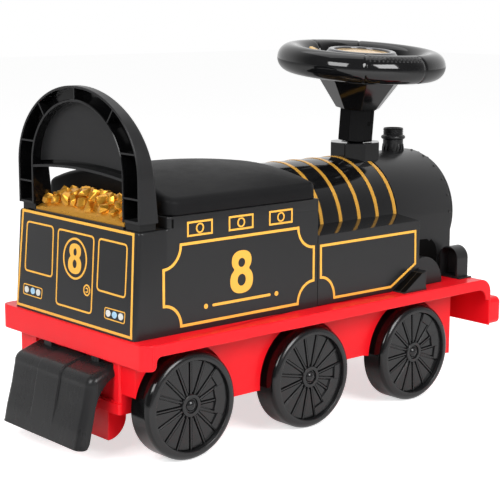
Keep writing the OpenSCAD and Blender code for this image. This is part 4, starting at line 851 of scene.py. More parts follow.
class TRAIN_OT_seat(bpy.types.Operator):
    """Mould the crowned seat lid with its upright skirt, soft edge and locating lip"""
    bl_idname = "train.seat"
    bl_label = "Seat lid"

    def execute(self, context):
        edge = context.scene.train_sizes.seat_round
        low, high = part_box("seat_lid")
        half, reach, wall, corner = high.y, (high.x - low.x) / 2, 0.003, 0.014
        skirt_low = low.z + 0.008
        skirt_top = skirt_low + 0.0162
        crest_x, crest = low.x + 0.4 * (high.x - low.x), high.z - skirt_top
        fall_front, fall_rear, edge_flat, skirt_in = 0.0095, 0.0025, 0.72, 0.0075
        lip_out, lip_in = 0.0035, 0.0065

        def top_at(x, y):
            """Height of the crowned top"""
            run = (x - crest_x) / ((high.x if x > crest_x else low.x) - crest_x)
            height = crest - (fall_front if x > crest_x else fall_rear) * run ** 2
            return skirt_top + height * (1 - (y / half) ** 2)

        def plan(inset):
            """Rounded rectangle in plan, drawn in by an inset"""
            radius = max(corner - inset, 0.0012)
            x0, x1, y1 = low.x + inset + radius, high.x - inset - radius, half - inset - radius
            corners = [arc(*middle, radius, 90 * turn, 90 * turn + 90, 8)
                       for turn, middle in enumerate(((x1, y1), (x0, y1), (x0, -y1), (x1, -y1)))]
            points = []
            for index, bend in enumerate(corners):
                last, ahead = Vector(bend[-1]), Vector(corners[(index + 1) % 4][0])
                points += bend + [tuple(last.lerp(ahead, i / 14)) for i in range(1, 14)]
            return points

        def crown(share, drop=0.0):
            """Ring of the top, drawn in by a share of the way to the middle"""
            return [(x, y, top_at(x, y) - drop) for x, y in plan(edge + share * (reach - edge))]

        rings = [crown(share, wall) for share in (0.1, 0.36, 0.64, 0.9, 0.985)]
        rings = [at_height(plan(skirt_in), skirt_low)] + rings
        rings += [at_height(plan(0.0014), skirt_low), at_height(plan(0.0006), skirt_low + 0.0008),
                  at_height(plan(0.0), skirt_low + 0.0016)]
        for rise, inset in quarter(edge, 7):
            rings.append([(x, y, top_at(x, y) - edge_flat * (edge - rise)) for x, y in plan(inset)])
        rings += [crown(share) for share in (0.14, 0.24, 0.36, 0.5, 0.64, 0.78, 0.9, 0.985)]
        shape = Shape()
        shape.skin(rings)
        outer, inner, lip_top = plan(lip_out), plan(lip_in), skirt_low + wall
        shape.skin([at_height(outer, low.z), at_height(outer, lip_top), at_height(inner, lip_top),
                    at_height(inner, low.z)], loop=True)
        piece("seat_moulding", shape, ("seat_satin",), "seat", ("seat_lid",), 50.0)
        return {"FINISHED"}


class TRAIN_OT_guard(bpy.types.Operator):
    """Mould the leaning rear guard with its rounded flanges, raised middle and two tabs"""
    bl_idname = "train.guard"
    bl_label = "Rear guard"

    def execute(self, context):
        low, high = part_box("rear_guard")
        lean, bend, wall, half, corner, sunk, depth = 0.014, 0.014, 0.003, high.y, 0.010, 0.0016, 0.0122
        top, slope, fillet_start = low.z + 0.079, 18.0, 17
        foot_cut, foot_high, sink_start, sink_run = 0.0042, 0.010, 0.018, 0.024
        tab_y, tab_half, tab_thick, tab_front = 0.045, 0.007, 0.0052, high.x - 0.0004
        path = []
        for step in range(25):
            share = step / 24
            path.append(Vector((low.x + lean * share, low.z + (top - bend - low.z) * share)))
        path += [Vector(p) for p in arc(low.x + lean + bend, top - bend, bend, 180, 90 + slope, 14)[1:]]
        start = path[-1]
        for step in range(1, 7):
            run = (high.x - start.x) * step / 6
            path.append(Vector((start.x + run, start.y + run * math.tan(math.radians(slope)))))
        end = path[-1].y
        start = path[fillet_start] + Vector((depth, -0.0026))
        fillet = [start, Vector((start.x + 0.006, top - 0.0135)), Vector((high.x, end - 0.0125))]
        outer_turns = [math.radians(a) for a in (0, 12, 24, 36, 48, 60, 72, 84, 90)]
        inner_turns = [math.radians(a) for a in (0, 22.5, 45, 67.5, 90)]
        rings = []
        for index, point in enumerate(path):
            ahead = path[min(index + 1, len(path) - 1)] - path[max(index - 1, 0)]
            ahead.normalize()
            inward = Vector((ahead.y, -ahead.x))
            recess = sunk * clip((point.y - low.z - sink_start) / sink_run)
            flange = depth - foot_cut * (1 - min(1.0, (point.y - low.z) / foot_high)) ** 2
            if index <= fillet_start:
                edge = point + inward * flange
                edge.y = max(low.z, edge.y)
            else:
                share = (index - fillet_start) / (len(path) - 1 - fillet_start)
                edge = fillet[0].lerp(fillet[1], share).lerp(fillet[1].lerp(fillet[2], share), share)
            bow = min(corner, flange - recess - 0.0002)
            outer = [(-half + corner - corner * math.cos(a), recess + bow * (1 - math.sin(a)))
                     for a in outer_turns]
            outer += [(-0.045, recess), (-0.0224, recess), (-0.0218, recess), (-0.0214, recess * 0.85),
                      (-0.0210, recess * 0.15), (-0.0206, 0.0), (-0.0198, 0.0), (-0.01, 0.0)]
            outer += [(-y, d) for y, d in reversed(outer)]
            bow = min(corner, flange - sunk) - wall
            inner = [(half - corner + (corner - wall) * math.cos(a), wall + sunk + bow * (1 - math.sin(a)))
                     for a in inner_turns]
            inner += [(-y, d) for y, d in reversed(inner)]
            front, back = ([(point.x + inward.x * d, y, max(low.z, point.y + inward.y * d)) for y, d in line]
                           for line in (outer, inner))
            rims = [(edge.x, y, edge.y) for y in (-half, half, half - wall, wall - half)]
            rings.append([rims[0], *front, *rims[1:3], *back, rims[3]])
        shape = Shape()
        shape.skin(rings)
        for y in (tab_y, -tab_y):
            shape.box((tab_front - tab_thick, y - tab_half, end - 0.004), (tab_front, y + tab_half, high.z))
        piece("guard_moulding", shape, ("guard_satin",), "locomotive", ("rear_guard",), 34.0)
        return {"FINISHED"}


# The steering wheel in the frame of its column: rim, hub, spokes, and the seams and bumps of its grips
RIM_RADIUS, RIM_TUBE, RIM_HEIGHT = 0.087, 0.017, 0.10028
HUB_RADIUS, HUB_LOW, HUB_TOP, HUB_WELL = 0.050, 0.07828, 0.10628, 0.0345
SPOKE_TURN, SPOKE_TOP = 25.0, RIM_HEIGHT + 0.006
WELL_MIDDLE = (HUB_RADIUS + RIM_RADIUS - RIM_TUBE) / 2
GRIPS = (227, 47)
GRIP_SPAN, BUMP_PITCH, BUMP_ROWS, BUMP_RADIUS = 45, 3, (66, 54, 42), 0.0016
SEAM_DEPTH, SEAM_WIDTH = 0.0009, 0.0013


def steering_place():
    """Matrix of the steering column's own frame"""
    turn = joint("steering_turn")
    up, side = Vector(turn["axis"]), Vector((1, 0, 0))
    place = Matrix((side, up.cross(side), up)).transposed().to_4x4()
    place.translation = Vector(turn["pos_m"])
    return place


class TRAIN_OT_steering(bpy.types.Operator):
    """Mould the steering wheel: rim with its grips, hub cup and spokes with button wells"""
    bl_idname = "train.steering"
    bl_label = "Steering wheel"

    def execute(self, context):
        place = steering_place()
        shape = Shape()
        rings = []
        for step in range(360):
            groove = 0.0
            for seam in [first + span for first in GRIPS for span in (0, GRIP_SPAN)]:
                away = math.radians(abs((step - seam + 180) % 360 - 180)) * RIM_RADIUS
                groove = max(groove, SEAM_DEPTH * math.exp(-(away / SEAM_WIDTH) ** 2))
            along, across = math.cos(math.radians(step)), math.sin(math.radians(step))
            tube = ellipse(RIM_RADIUS, RIM_HEIGHT, RIM_TUBE - groove, RIM_TUBE - groove)
            rings.append([(out * along, out * across, z) for out, z in tube])
        shape.skin(rings, 0, place, loop=True)
        bump = [(0.0001, BUMP_RADIUS)] + arc(0, 0, BUMP_RADIUS, 70, -70, 5) + [(0.0001, -BUMP_RADIUS)]
        for first in GRIPS:
            for row, height in enumerate(BUMP_ROWS):
                swing, reach = math.radians(height), RIM_TUBE - 0.0006
                spot = (RIM_RADIUS + reach * math.cos(swing), 0, RIM_HEIGHT + reach * math.sin(swing))
                tip = Matrix.Translation(spot) @ Matrix.Rotation(math.pi / 2 - swing, 4, "Y")
                tip = tip @ Matrix.Diagonal((1.1, 0.9, 0.75, 1))
                for column in range(1, GRIP_SPAN // BUMP_PITCH):
                    angle = first + BUMP_PITCH * (column + 0.5 * (row % 2))
                    shape.lathe(bump, 10, 0, spun(place, angle) @ tip)
        hub = [(0.006, HUB_TOP - 0.009), (0.006, HUB_TOP - 0.006), (HUB_WELL, HUB_TOP - 0.006)]
        hub += arc(HUB_WELL + 0.0008, HUB_TOP - 0.0008, 0.0008, 180, 90, 3)
        hub += arc(HUB_RADIUS - 0.0025, HUB_TOP - 0.0025, 0.0025, 90, 0, 5)
        hub += [(HUB_RADIUS, HUB_LOW), (HUB_RADIUS - 0.003, HUB_LOW), (HUB_RADIUS - 0.003, HUB_TOP - 0.009)]
        shape.lathe(hub, 96, 0, place)
        start, end, half = HUB_RADIUS - 0.003, RIM_RADIUS - 0.004, 0.018
        low, floor = RIM_HEIGHT - 0.006, SPOKE_TOP - 0.005
        near, far, side = WELL_MIDDLE - 0.0088, WELL_MIDDLE + 0.0088, 0.0063
        plain = [((start, -half, low), (end, half, SPOKE_TOP))]
        welled = [((start, -half, low), (end, half, floor)),
                  ((start, -half, floor), (near, half, SPOKE_TOP)),
                  ((far, -half, floor), (end, half, SPOKE_TOP)),
                  ((near, -half, floor), (far, -side, SPOKE_TOP)),
                  ((near, side, floor), (far, half, SPOKE_TOP))]
        for angle, blocks in ((90, welled), (180, plain), (270, welled)):
            for block in blocks:
                shape.box(*block, 0, spun(place, angle + SPOKE_TURN))
        piece("steering_wheel_moulding", shape, ("gloss_black",), "steering",
              ("steering_wheel",), 40.0)
        return {"FINISHED"}


class TRAIN_OT_buttons(bpy.types.Operator):
    """Mould the ring and the disc on the hub, and the two pads on the spokes"""
    bl_idname = "train.buttons"
    bl_label = "Hub and pads"

    def execute(self, context):
        place = steering_place()
        hub = place @ Matrix.Translation((0, 0, HUB_TOP))
        ring, disc = Shape(), Shape()
        profile = [(0.0344, 0.0), (0.0344, 0.0058)] + arc(0.0362, 0.0062, 0.0018, 180, 90, 4)
        profile += arc(0.0395, 0.0052, 0.0028, 90, 20, 5)
        profile += [(0.0448, 0.0030), (0.0492, 0.0008), (0.0492, 0.0)]
        ring.lathe(profile, 96, 0, hub)
        piece("hub_ring_moulding", ring, ("trim_grey",), "steering", ("hub_trim_ring",), 40.0)
        disc.lathe([(0.0002, -0.0032), (0.0338, -0.0032), (0.0338, 0.0048), (0.0331, 0.0055),
                    (0.0296, 0.0057), (0.0288, 0.0053), (0.0282, 0.0057), (0.016, 0.0063),
                    (0.0002, 0.0066)], 96, 0, hub)
        piece("horn_disc", disc, ("button_gold",), "horn", ("horn_button",), 40.0)
        rows, pad_l, pad_w, pad_round, pad_slope = [], 0.0085, 0.0060, 0.0028, 70.0
        for inset, lift in ((0.0, 0.0), (0.0, 0.0044), (0.0005, 0.0051), (0.0013, 0.0055)):
            half_l, half_w = pad_l - inset, pad_w - inset
            outline = rounded(rectangle(-half_l, -half_w, half_l, half_w), pad_round)
            rows.append([(x, y, lift * (1.0 + pad_slope * x)) for x, y in outline])
        for side, angle in (("left", 90), ("right", 270)):
            pad = Shape()
            seat = Matrix.Translation((WELL_MIDDLE, 0, SPOKE_TOP - 0.0026))
            pad.skin(rows, 0, spun(place, angle + SPOKE_TURN) @ seat)
            piece(f"{side}_pad", pad, ("button_gold",), f"{side}_push",
                  (f"{side}_button",), 40.0)
        return {"FINISHED"}


class TRAIN_OT_chimney(bpy.types.Operator):
    """Turn the chimney with its bead, threaded mouth and ribbed flared foot"""
    bl_idname = "train.chimney"
    bl_label = "Chimney"

    def execute(self, context):
        low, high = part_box("chimney")
        top, radius, bore, foot, rib_top = high.z, 0.0129, 0.0105, low.z + 0.0004, low.z + 0.0099
        groove, pitch, bead, rib_count, rib_slant = 0.0008, 0.0022, 0.0026, 16, 0.0022
        profile = [(bore, foot), (radius - groove, foot), (radius, foot + 0.009), (radius, top - 0.0148)]
        profile += arc(radius, top - 0.0118, bead, -80, 80, 8) + [(radius, top - 0.0088)]
        for thread in range(3):
            z = top - 0.0078 + thread * pitch
            profile += [(radius - groove, z), (radius, z + 0.0006), (radius, z + 0.0012),
                        (radius - groove, z + 0.0018)]
        profile += [(radius, top - groove), (radius - groove, top), (bore + 0.0006, top),
                    (bore, top - 0.0006)]
        shape = Shape()
        place = Matrix.Translation(((low.x + high.x) / 2, 0.0, 0.0))
        shape.lathe(profile, 72, 0, place)
        outline = [(radius - 0.002, foot), (radius + 0.0012, foot), (radius + 0.0012, foot + 0.005),
                   (radius + 0.0002, rib_top), (radius - 0.002, rib_top)]
        slant = rib_slant / (rib_top - foot)
        rib = [[(x, y + slant * (z - foot), z) for x, z in outline] for y in (-0.0012, 0.0009)]
        for index in range(rib_count):
            shape.skin(rib, 0, spun(place, 360 * index / rib_count))
        piece("chimney_moulding", shape, ("satin_black",), "locomotive", ("chimney",), 40.0)
        return {"FINISHED"}


class TRAIN_OT_smokebox(bpy.types.Operator):
    """Mould the smokebox as one cover that reaches back over the boiler to the last band"""
    bl_idname = "train.smokebox"
    bl_label = "Smokebox"

    def execute(self, context):
        low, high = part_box("smokebox")
        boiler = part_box("boiler_shell")[1]
        start = max(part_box("boiler_bands")[1].x + 0.0006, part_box("side_tank_left")[1].x + 0.0002)
        axis, radius, tube, soft = high.z - high.y, high.y, boiler.y + 0.0002, 0.0012

        def arch(x, r):
            """Upright arch with straight feet"""
            return [(x, y, z) for y, z in [(r, low.z)] + arc(0, axis, r, 0, 180, 72) + [(-r, low.z)]]

        rings = [arch(boiler.x + 0.0002, tube), arch(start, tube), arch(start, radius - 0.0004),
                 arch(start + 0.0004, radius)]
        rings += [arch(high.x - soft + rise, radius - inset) for rise, inset in quarter(soft, 5)]
        shape = Shape()
        shape.skin(rings)
        rivet_radius, rivet_rise, rivet_first, rivet_pitch = 0.0017, 0.0011, 2, 16
        rivet = [(0.0002, -0.001), (rivet_radius, -0.001)]
        rivet += arc(0, 0, rivet_radius, 0, 84, 5, rivet_rise) + [(0.0002, rivet_rise)]
        for step in range(12):
            turn = math.radians(rivet_first + rivet_pitch * step)
            out = Vector((0, math.cos(turn), math.sin(turn)))
            place = out.to_track_quat("Z", "X").to_matrix().to_4x4()
            place.translation = Vector((high.x - 0.0038, 0, axis)) + out * radius
            shape.lathe(rivet, 12, 0, place)
        piece("smokebox_moulding", shape, ("satin_black",), "locomotive", ("smokebox",), 30.0)
        return {"FINISHED"}


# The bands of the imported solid
BAND_COUNT = 5
SOLID_BAND = 0.007


class TRAIN_OT_bands(bpy.types.Operator):
    """Lay the gold bands over the boiler between the tanks"""
    bl_idname = "train.bands"
    bl_label = "Boiler bands"

    def execute(self, context):
        low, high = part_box("boiler_bands")
        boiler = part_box("boiler_shell")[1].y
        half, soft, rise, foot = context.scene.train_sizes.band_width / 2, 0.0003, 0.0006, -0.0003
        axis = high.z - boiler - rise
        pitch = (high.x - low.x - SOLID_BAND) / (BAND_COUNT - 1)
        start = math.degrees(math.asin((low.z - axis) / (boiler + rise)))
        shape = Shape()
        for band in range(BAND_COUNT):
            x = low.x + SOLID_BAND / 2 + band * pitch
            section = [(x - half, foot), (x - half, rise - soft), (x - half + soft, rise),
                       (x + half - soft, rise), (x + half, rise - soft), (x + half, foot)]
            shape.skin([[(px, y * (boiler + lift), axis + z * (boiler + lift)) for px, lift in section]
                        for y, z in arc(0, 0, 1.0, start, 180 - start, 72)])
        piece("band_mouldings", shape, ("band_gold",), "locomotive", ("boiler_bands",), 40.0)
        return {"FINISHED"}


class TRAIN_OT_keel_frame(bpy.types.Operator):
    """Frame the keel's rear face with a ledge across its foot and a rib at each corner"""
    bl_idname = "train.keel_frame"
    bl_label = "Keel frame"

    def execute(self, context):
        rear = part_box("keel")[0].x
        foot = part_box("tipping_foot")[1].z
        half, deck, ledge, rib = 0.0838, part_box("chassis_deck")[1].z - 0.0026, foot + 0.0118, 0.0105
        shape = Shape()
        outline = mirrored([(rear - 0.0042, half - 0.003), (rear - 0.0030, half - 0.0008),
                            (rear - 0.0005, half), (rear + 0.001, half)])
        shape.prism(outline, foot, ledge)
        shape.prism([(x + 0.0012, y * 0.985) for x, y in outline], ledge, ledge + 0.002)
        for sign in (1, -1):
            side = [(rear - 0.0026, half - rib), (rear - 0.0026, half - 0.002), (rear - 0.0008, half),
                    (rear + 0.001, half), (rear + 0.001, half - rib)]
            shape.prism([(x, sign * y) for x, y in side], ledge + 0.0018, deck)
        piece("keel_frame", shape, ("red_plastic",), "locomotive", bevel=0.0005)
        return {"FINISHED"}


# Outline of the painted shade in the steam pockets along and above the smokebox, in millimetres
POCKET_SHADE = ((212.0, 184.8), (227.6, 184.0), (231.7, 180.5), (235.5, 183.1), (242.8, 175.9), (246.0, 167.6),
          (246.3, 159.5), (244.8, 150.3), (242.2, 137.0), (212.2, 137.0))


class TRAIN_OT_fittings(bpy.types.Operator):
    """Add the lamp plates, the wedges with their strips of painted shade, and the painted shade of the steam
    pockets and the column's lock hole
    """
    bl_idname = "train.fittings"
    bl_label = "Small fittings"

    def execute(self, context):
        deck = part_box("chassis_deck")[1].z
        lamp_low, lamp_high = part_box("lamp_housing_left")
        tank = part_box("side_tank_left")[1]
        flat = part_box("smokebox")[1].y
        foot, peak, height, end = 0.1285, 0.161, 0.0212, 0.168
        inner, outer = tank.y + 0.0003, tank.y + 0.0172
        rise = height / (peak - foot)
        shade_slot_low = (foot + 0.002, deck + 0.002 * rise)
        shade_slot_high = (peak - 0.0012, deck + height - 0.0012 * rise)
        plates, wedges, pocket_shade, lock_shade = Shape(), Shape(), Shape(), Shape()
        for sign in (1, -1):
            mirror = Matrix.Scale(sign, 4, (0, 1, 0))
            plates.box((lamp_low.x - 0.0015, lamp_low.y - 0.004, deck - 0.0002),
                       (lamp_high.x + 0.0015, lamp_high.y + 0.0055, deck + 0.0015), 0, mirror)
            side = [(foot, deck), (peak, deck + height), (end, deck)]
            wedges.skin([[(x, y, z) for x, z in side] for y in (inner, outer)], 0, mirror)
            # Two dark strips of painted shade lie on each wedge's slope, where its hollows are
            for near, far in ((inner, inner + 0.0078), (inner + 0.0090, outer - 0.0009)):
                corners = ((shade_slot_low, near), (shade_slot_high, near), (shade_slot_high, far), (shade_slot_low, far))
                wedges.skin([[(x, y, z + lift) for (x, z), y in corners] for lift in (0.0, 0.00025)],
                            1, mirror)
            # Dark sheets of painted shade where the steam pockets sink into the smokebox's sides
            pocket_shade.skin([[(x * MM, y, z * MM) for x, z in POCKET_SHADE] for y in (flat - 0.0004, flat + 0.0003)],
                         0, mirror)
        piece("lamp_plates", plates, ("satin_black",), "locomotive", bevel=0.0004)
        piece("cylinder_wedges", wedges, ("satin_black", "hollow_shade_black"), "locomotive")
        piece("steam_pocket_shade", pocket_shade, ("hollow_shade_black",), "locomotive")
        # Painted shade: a dark disc for the lock's hole in the column, and a dark bar for the slot above it
        column = steering_place() @ Matrix.Translation((0.0009, -0.0210, 0.0248))
        column = column @ Matrix.Rotation(math.pi / 2, 4, "X")
        lock_shade.lathe([(0.0002, -0.0006), (0.0027, -0.0006), (0.0027, 0.0002), (0.0002, 0.0002)], 24, 0, column)
        lock_shade.box((0.0022, 0.001, -0.0006), (0.0042, 0.0165, 0.0002), 0, column)
        piece("column_lock_shade", lock_shade, ("hollow_shade_black",), "steering")
        return {"FINISHED"}


# Places of the side print in millimetres along and above the side panels
NUMBER_PANEL = {"x": (-194.2, -28.4), "reach": (-216.8, -4.3), "z": (143.7, 229.6), "notch": (167.5, 205.7)}
SIDE_WINDOWS = ((-185.8, -151.5), (-129.5, -94.7), (-72.1, -37.3))
SIDE_WINDOW_Z = (236.6, 252.6)
SIDE_EIGHT = dict(x=-111.2, top=214.2, bottom=167.5, upper=(13.8, 203.0), lower=(16.0, 181.6), waist=10.4,
                  counters=((201.0, 4.9, 5.0), (182.1, 5.9, 6.5)))
SIDE_BAR = ((-150.6, -70.8), 160.0)
SIDE_DOTS = (-160.9, -60.6)
BAR_RADIUS, DOT_RADIUS = 1.5, 2.7
PORT_OUTER, PORT_INNER = (5.4, 5.4), (3.6, 3.8)
TANK_FRAME = ((6.8, 205.4), (164.6, 205.2), (165.6, 165.6), (123.4, 142.5), (29.0, 142.9))
TANK_NOTCH = (7.2, 169.0)


class TRAIN_OT_side_print(bpy.types.Operator):
    """Print the gold frames, windows, running number and rules on both sides"""
    bl_idname = "train.side_print"
    bl_label = "Side print"

    def execute(self, context):
        sizes = context.scene.train_sizes
        line, thin = sizes.frame_line / MM, sizes.thin_line / MM
        (x0, x1), (r0, r1), (z0, z1), (n0, n1) = NUMBER_PANEL.values()
        path = arc(r1, z0, r1 - x1, 180, 90, 10, n0 - z0) + arc(r1, z1, r1 - x1, 270, 180, 10, z1 - n1)
        path += arc(r0, z1, x0 - r0, 0, -90, 10, z1 - n1) + arc(r0, z0, x0 - r0, 90, 0, 10, n0 - z0)
        loops = frame_loops(path, line)
        low, high = SIDE_WINDOW_Z
        for left, right in SIDE_WINDOWS:
            inset, middle = thin / 2, ((left + right) / 2, (low + high) / 2)
            loops += frame_loops(rectangle(left + inset, low + inset, right - inset, high - inset), thin)
            loops += [ellipse(*middle, *PORT_OUTER), ellipse(*middle, *PORT_INNER)]
        loops += figure_eight(**SIDE_EIGHT)
        (bar0, bar1), bar_z = SIDE_BAR
        loops.append(arc(bar1, bar_z, BAR_RADIUS, -90, 90, 8) + arc(bar0, bar_z, BAR_RADIUS, 90, 270, 8))
        loops += [ellipse(x, bar_z, DOT_RADIUS, DOT_RADIUS) for x in SIDE_DOTS]
        corner_x, corner_z = TANK_FRAME[-1]
        notch = arc(TANK_NOTCH[0], corner_z, corner_x - TANK_NOTCH[0], 0, 90, 10, TANK_NOTCH[1] - corner_z)
        loops += frame_loops(list(TANK_FRAME) + notch[1:], line)
        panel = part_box("side_tank_left")[1].y
        for side, sign in (("left", 1.0), ("right", -1.0)):
            print_piece(f"{side}_side_print", [(0, loops)], on_side(sign, panel * sign), ("print_gold",))
        return {"FINISHED"}


# Places of the rear print in millimetres across and above the rear panel
REAR_FRAME = ((-107.6, 139.6), (-103.2, 244.8), (103.2, 246.0), (107.6, 139.6))
REAR_WINDOWS = (((40.2, 179.9), (94.6, 179.9), (93.7, 234.6), (41.4, 234.6)),
                ((-44.6, 179.4), (-94.4, 178.8), (-93.8, 232.8), (-44.5, 233.2)))
REAR_DOOR = ((-36.2, 152.4), (-35.2, 233.4), (31.6, 233.8), (30.2, 152.4))
REAR_EIGHT = dict(x=-1.9, top=222.1, bottom=189.6, upper=(10.7, 214.2), lower=(12.2, 199.4), waist=8.0,
                  counters=((213.1, 3.1, 4.0), (200.3, 3.8, 4.6)))
REAR_RING = (-2.0, 206.0, 22.4, 2.3)
REAR_KNOB = (-26.4, 175.8, 6.2, 1.6)
KNOB_HOOK = (2.9, 1.5)
PANEL_ROUND, PANEL_LINE, LAMP_ROUND, LAMP_LINE, LIGHT_RADII = 5.0, 0.95, 2.2, 1.1, (4.3, 3.6)
REAR_LAMPS = (((59.0, 152.6), (96.0, 153.0), (95.8, 164.4), (58.6, 164.0)),
              ((-60.2, 152.4), (-95.0, 152.0), (-95.6, 163.6), (-60.4, 163.4)))
REAR_LIGHTS = (((89.6, 158.6), (77.2, 158.6), (66.2, 158.6)),
               ((-66.4, 158.2), (-77.4, 158.2), (-88.4, 158.2)))


class TRAIN_OT_rear_print(bpy.types.Operator):
    """Print the gold frames, windows, door and lamps on the rear panel"""
    bl_idname = "train.rear_print"
    bl_label = "Rear print"

    def execute(self, context):
        sizes = context.scene.train_sizes
        line, thin = sizes.frame_line / MM, sizes.thin_line / MM
        low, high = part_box("body_shell")
        tilt = math.atan(REAR_LEAN / REAR_HEIGHT)
        flat = high.y - REAR_CORNER

        def on_panel(loops):
            """Loops of the drawing as they lie on the leaning panel"""
            return [[(y, (z - low.z / MM) / math.cos(tilt)) for y, z in loop] for loop in loops]

        def wrap(point):
            """Bends the print round the rear corners"""
            past = min(max(0.0, abs(point.x) - flat), REAR_CORNER)
            fall = REAR_CORNER - math.sqrt(REAR_CORNER ** 2 - past ** 2)
            return Vector((point.x, point.y, point.z - fall))

        gold, whites, blues = frame_loops(REAR_FRAME, line), [], []
        for outline in (*REAR_WINDOWS, REAR_DOOR):
            gold += frame_loops(rounded(outline, PANEL_ROUND), thin * PANEL_LINE)
        gold += ring_loops(*REAR_RING) + figure_eight(**REAR_EIGHT) + ring_loops(*REAR_KNOB)
        hook = [(*REAR_KNOB[:2], radius) for radius in KNOB_HOOK]
        gold.append(arc(*hook[0], 40, 320, 16) + arc(*hook[1], 320, 40, 16))
        for cluster, lights in zip(REAR_LAMPS, REAR_LIGHTS):
            gold += frame_loops(rounded(cluster, LAMP_ROUND), LAMP_LINE)
            for index, spot in enumerate(lights):
                (blues if index == 1 else whites).append(ellipse(*spot, *LIGHT_RADII))
        groups = [(index, on_panel(loops)) for index, loops in enumerate((gold, whites, blues))]
        up = Vector((math.sin(tilt), 0, math.cos(tilt)))
        out = Vector((-math.cos(tilt), 0, math.sin(tilt)))
        place = Matrix((Vector((0, 1, 0)), up, out)).transposed().to_4x4()
        place.translation = Vector((low.x, 0, low.z))
        print_piece("rear_print", groups, place, ("print_gold", "lamp_white", "lamp_blue"), wrap)
        return {"FINISHED"}


# Studio: the bright side of the room as reflections see it, how bright the room and the floor look
# in them, the lights with their places, sizes and powers, and the camera
BRIGHT_SIDE = (0.62, 0.7, -0.35)
ROOM_LEVELS = {"From Min": -0.35, "From Max": 0.45, "To Min": 0.18, "To Max": 1.0}
ROOM_FILL = 0.42
FLOOR_GREY, FLOOR_GLOW, FLOOR_REFLECTED, FLOOR_REACH = 0.8, 0.64, 0.2, 9
LIGHTS = (("left_softbox", (-1.45, -0.42, 1.1), 0.8, 19.0),
          ("right_softbox", (-0.07, -1.5, 1.12), 0.8, 23.0),
          ("top_light", (0.3, 0.4, 2.0), 1.4, 7.0))
LIGHT_AIM = (0, 0, 0.2)
LENS_MM, SENSOR_MM = 99.294, 36.0
CAMERA_SPOT = (-1.0618, -1.20935, 0.47681)
CAMERA_AHEAD, CAMERA_SIDE, CAMERA_ROLL = (0.64918, 0.73954, -0.17790), (0.75153, -0.65970, 0.0), 0.18


def light_path(tree):
    """The light path of a shader, and whether a ray comes straight or through glass from the camera"""
    path = add_node(tree, "ShaderNodeLightPath")
    seen = add_node(tree, "ShaderNodeMath", operation="MAXIMUM")
    wire(tree, (path, "Is Camera Ray", seen, 0), (path, "Is Transmission Ray", seen, 1))
    return path, seen


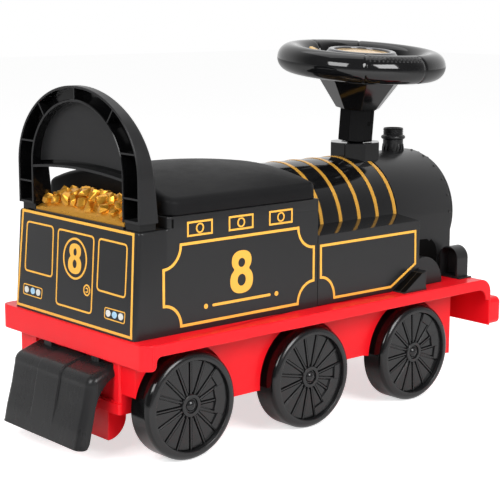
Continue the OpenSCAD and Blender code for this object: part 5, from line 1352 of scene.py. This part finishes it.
class TRAIN_OT_stage(bpy.types.Operator):
    """Set the pale floor, the soft studio light and the camera"""
    bl_idname = "train.stage"
    bl_label = "Stage"

    def execute(self, context):
        scene = context.scene
        scene.view_settings.view_transform = "Standard"
        world = bpy.data.worlds.new("studio")
        scene.world = world
        world.use_nodes = True
        tree = world.node_tree
        back = tree.nodes["Background"]
        back.inputs["Color"].default_value = (1, 1, 1, 1)
        path, seen = light_path(tree)
        place = add_node(tree, "ShaderNodeTexCoord")
        toward = add_node(tree, "ShaderNodeVectorMath", {1: BRIGHT_SIDE}, operation="DOT_PRODUCT")
        room = add_node(tree, "ShaderNodeMapRange", ROOM_LEVELS, interpolation_type="SMOOTHSTEP")
        gloss = add_node(tree, "ShaderNodeMix", {2: ROOM_FILL})
        level = add_node(tree, "ShaderNodeMix", {3: 1.0})
        wire(tree, (place, "Generated", toward, 0), (toward, "Value", room, "Value"),
             (path, "Is Glossy Ray", gloss, 0), (room, "Result", gloss, 3), (seen, 0, level, 0),
             (gloss, 0, level, 2), (level, 0, back, "Strength"))
        floor_mesh = bpy.data.meshes.new("floor")
        corners = rectangle(-FLOOR_REACH, -FLOOR_REACH, FLOOR_REACH, FLOOR_REACH)
        floor_mesh.from_pydata(at_height(corners, 0), [], [(0, 1, 2, 3)])
        floor = bpy.data.objects.new("floor", floor_mesh)
        scene.collection.objects.link(floor)
        pale = bpy.data.materials.new("pale_floor")
        pale.use_nodes = True
        tree = pale.node_tree
        tree.nodes.remove(tree.nodes["Principled BSDF"])
        path, seen = light_path(tree)
        diffuse = add_node(tree, "ShaderNodeBsdfDiffuse", {"Color": (FLOOR_GREY, FLOOR_GREY, FLOOR_GREY, 1)})
        glow = add_node(tree, "ShaderNodeEmission")
        both = add_node(tree, "ShaderNodeAddShader")
        reflected = add_node(tree, "ShaderNodeMath", {1: FLOOR_REFLECTED}, operation="MULTIPLY_ADD")
        level = add_node(tree, "ShaderNodeMapRange", {"To Max": FLOOR_GLOW})
        wire(tree, (path, "Is Glossy Ray", reflected, 0), (seen, 0, reflected, 2),
             (reflected, 0, level, "Value"), (level, "Result", glow, "Strength"), (diffuse, 0, both, 0),
             (glow, 0, both, 1), (both, 0, tree.nodes["Material Output"], "Surface"))
        floor_mesh.materials.append(pale)
        for name, spot, size, power in LIGHTS:
            lamp = bpy.data.lights.new(name, "AREA")
            lamp.shape = "SQUARE"
            lamp.size = size
            lamp.energy = power
            thing = bpy.data.objects.new(name, lamp)
            thing.location = spot
            thing.rotation_euler = (Vector(LIGHT_AIM) - Vector(spot)).to_track_quat("-Z", "Y").to_euler()
            scene.collection.objects.link(thing)
        lens = bpy.data.cameras.new("camera")
        lens.lens = LENS_MM
        lens.sensor_width = SENSOR_MM
        lens.sensor_fit = "HORIZONTAL"
        camera = bpy.data.objects.new("camera", lens)
        ahead, side = Vector(CAMERA_AHEAD).normalized(), Vector(CAMERA_SIDE).normalized()
        view = Matrix((side, side.cross(ahead), -ahead)).transposed().to_4x4()
        camera.matrix_world = spun(Matrix.Translation(CAMERA_SPOT) @ view, CAMERA_ROLL)
        scene.collection.objects.link(camera)
        scene.camera = camera
        return {"FINISHED"}


OPERATORS = (
    TRAIN_OT_stage, TRAIN_OT_mouldings, TRAIN_OT_wheels, TRAIN_OT_body, TRAIN_OT_backrest, TRAIN_OT_coal,
    TRAIN_OT_seat, TRAIN_OT_guard, TRAIN_OT_steering, TRAIN_OT_buttons, TRAIN_OT_chimney, TRAIN_OT_smokebox,
    TRAIN_OT_bands, TRAIN_OT_keel_frame, TRAIN_OT_fittings, TRAIN_OT_side_print, TRAIN_OT_rear_print)


class TRAIN_PT_sidebar(bpy.types.Panel):
    """Lists the steps that dress the train"""
    bl_label = "Train"
    bl_idname = "TRAIN_PT_sidebar"
    bl_space_type = "VIEW_3D"
    bl_region_type = "UI"
    bl_category = "Train"

    def draw(self, context):
        for group in (context.scene.train_sizes, context.scene.train_colours):
            for name in group.__annotations__:
                self.layout.prop(group, name)
        for step in OPERATORS:
            self.layout.operator(step.bl_idname)


CLASSES = (TrainSizes, TrainColours, *OPERATORS, TRAIN_PT_sidebar)


def register():
    for entry in CLASSES:
        bpy.utils.register_class(entry)
    bpy.types.Scene.train_sizes = PointerProperty(type=TrainSizes)
    bpy.types.Scene.train_colours = PointerProperty(type=TrainColours)


def unregister():
    del bpy.types.Scene.train_colours
    del bpy.types.Scene.train_sizes
    for entry in reversed(CLASSES):
        bpy.utils.unregister_class(entry)


def main():
    register()
    for step in OPERATORS:
        group, name = step.bl_idname.split(".")
        getattr(getattr(bpy.ops, group), name)()


if __name__ == "__main__":
    main()
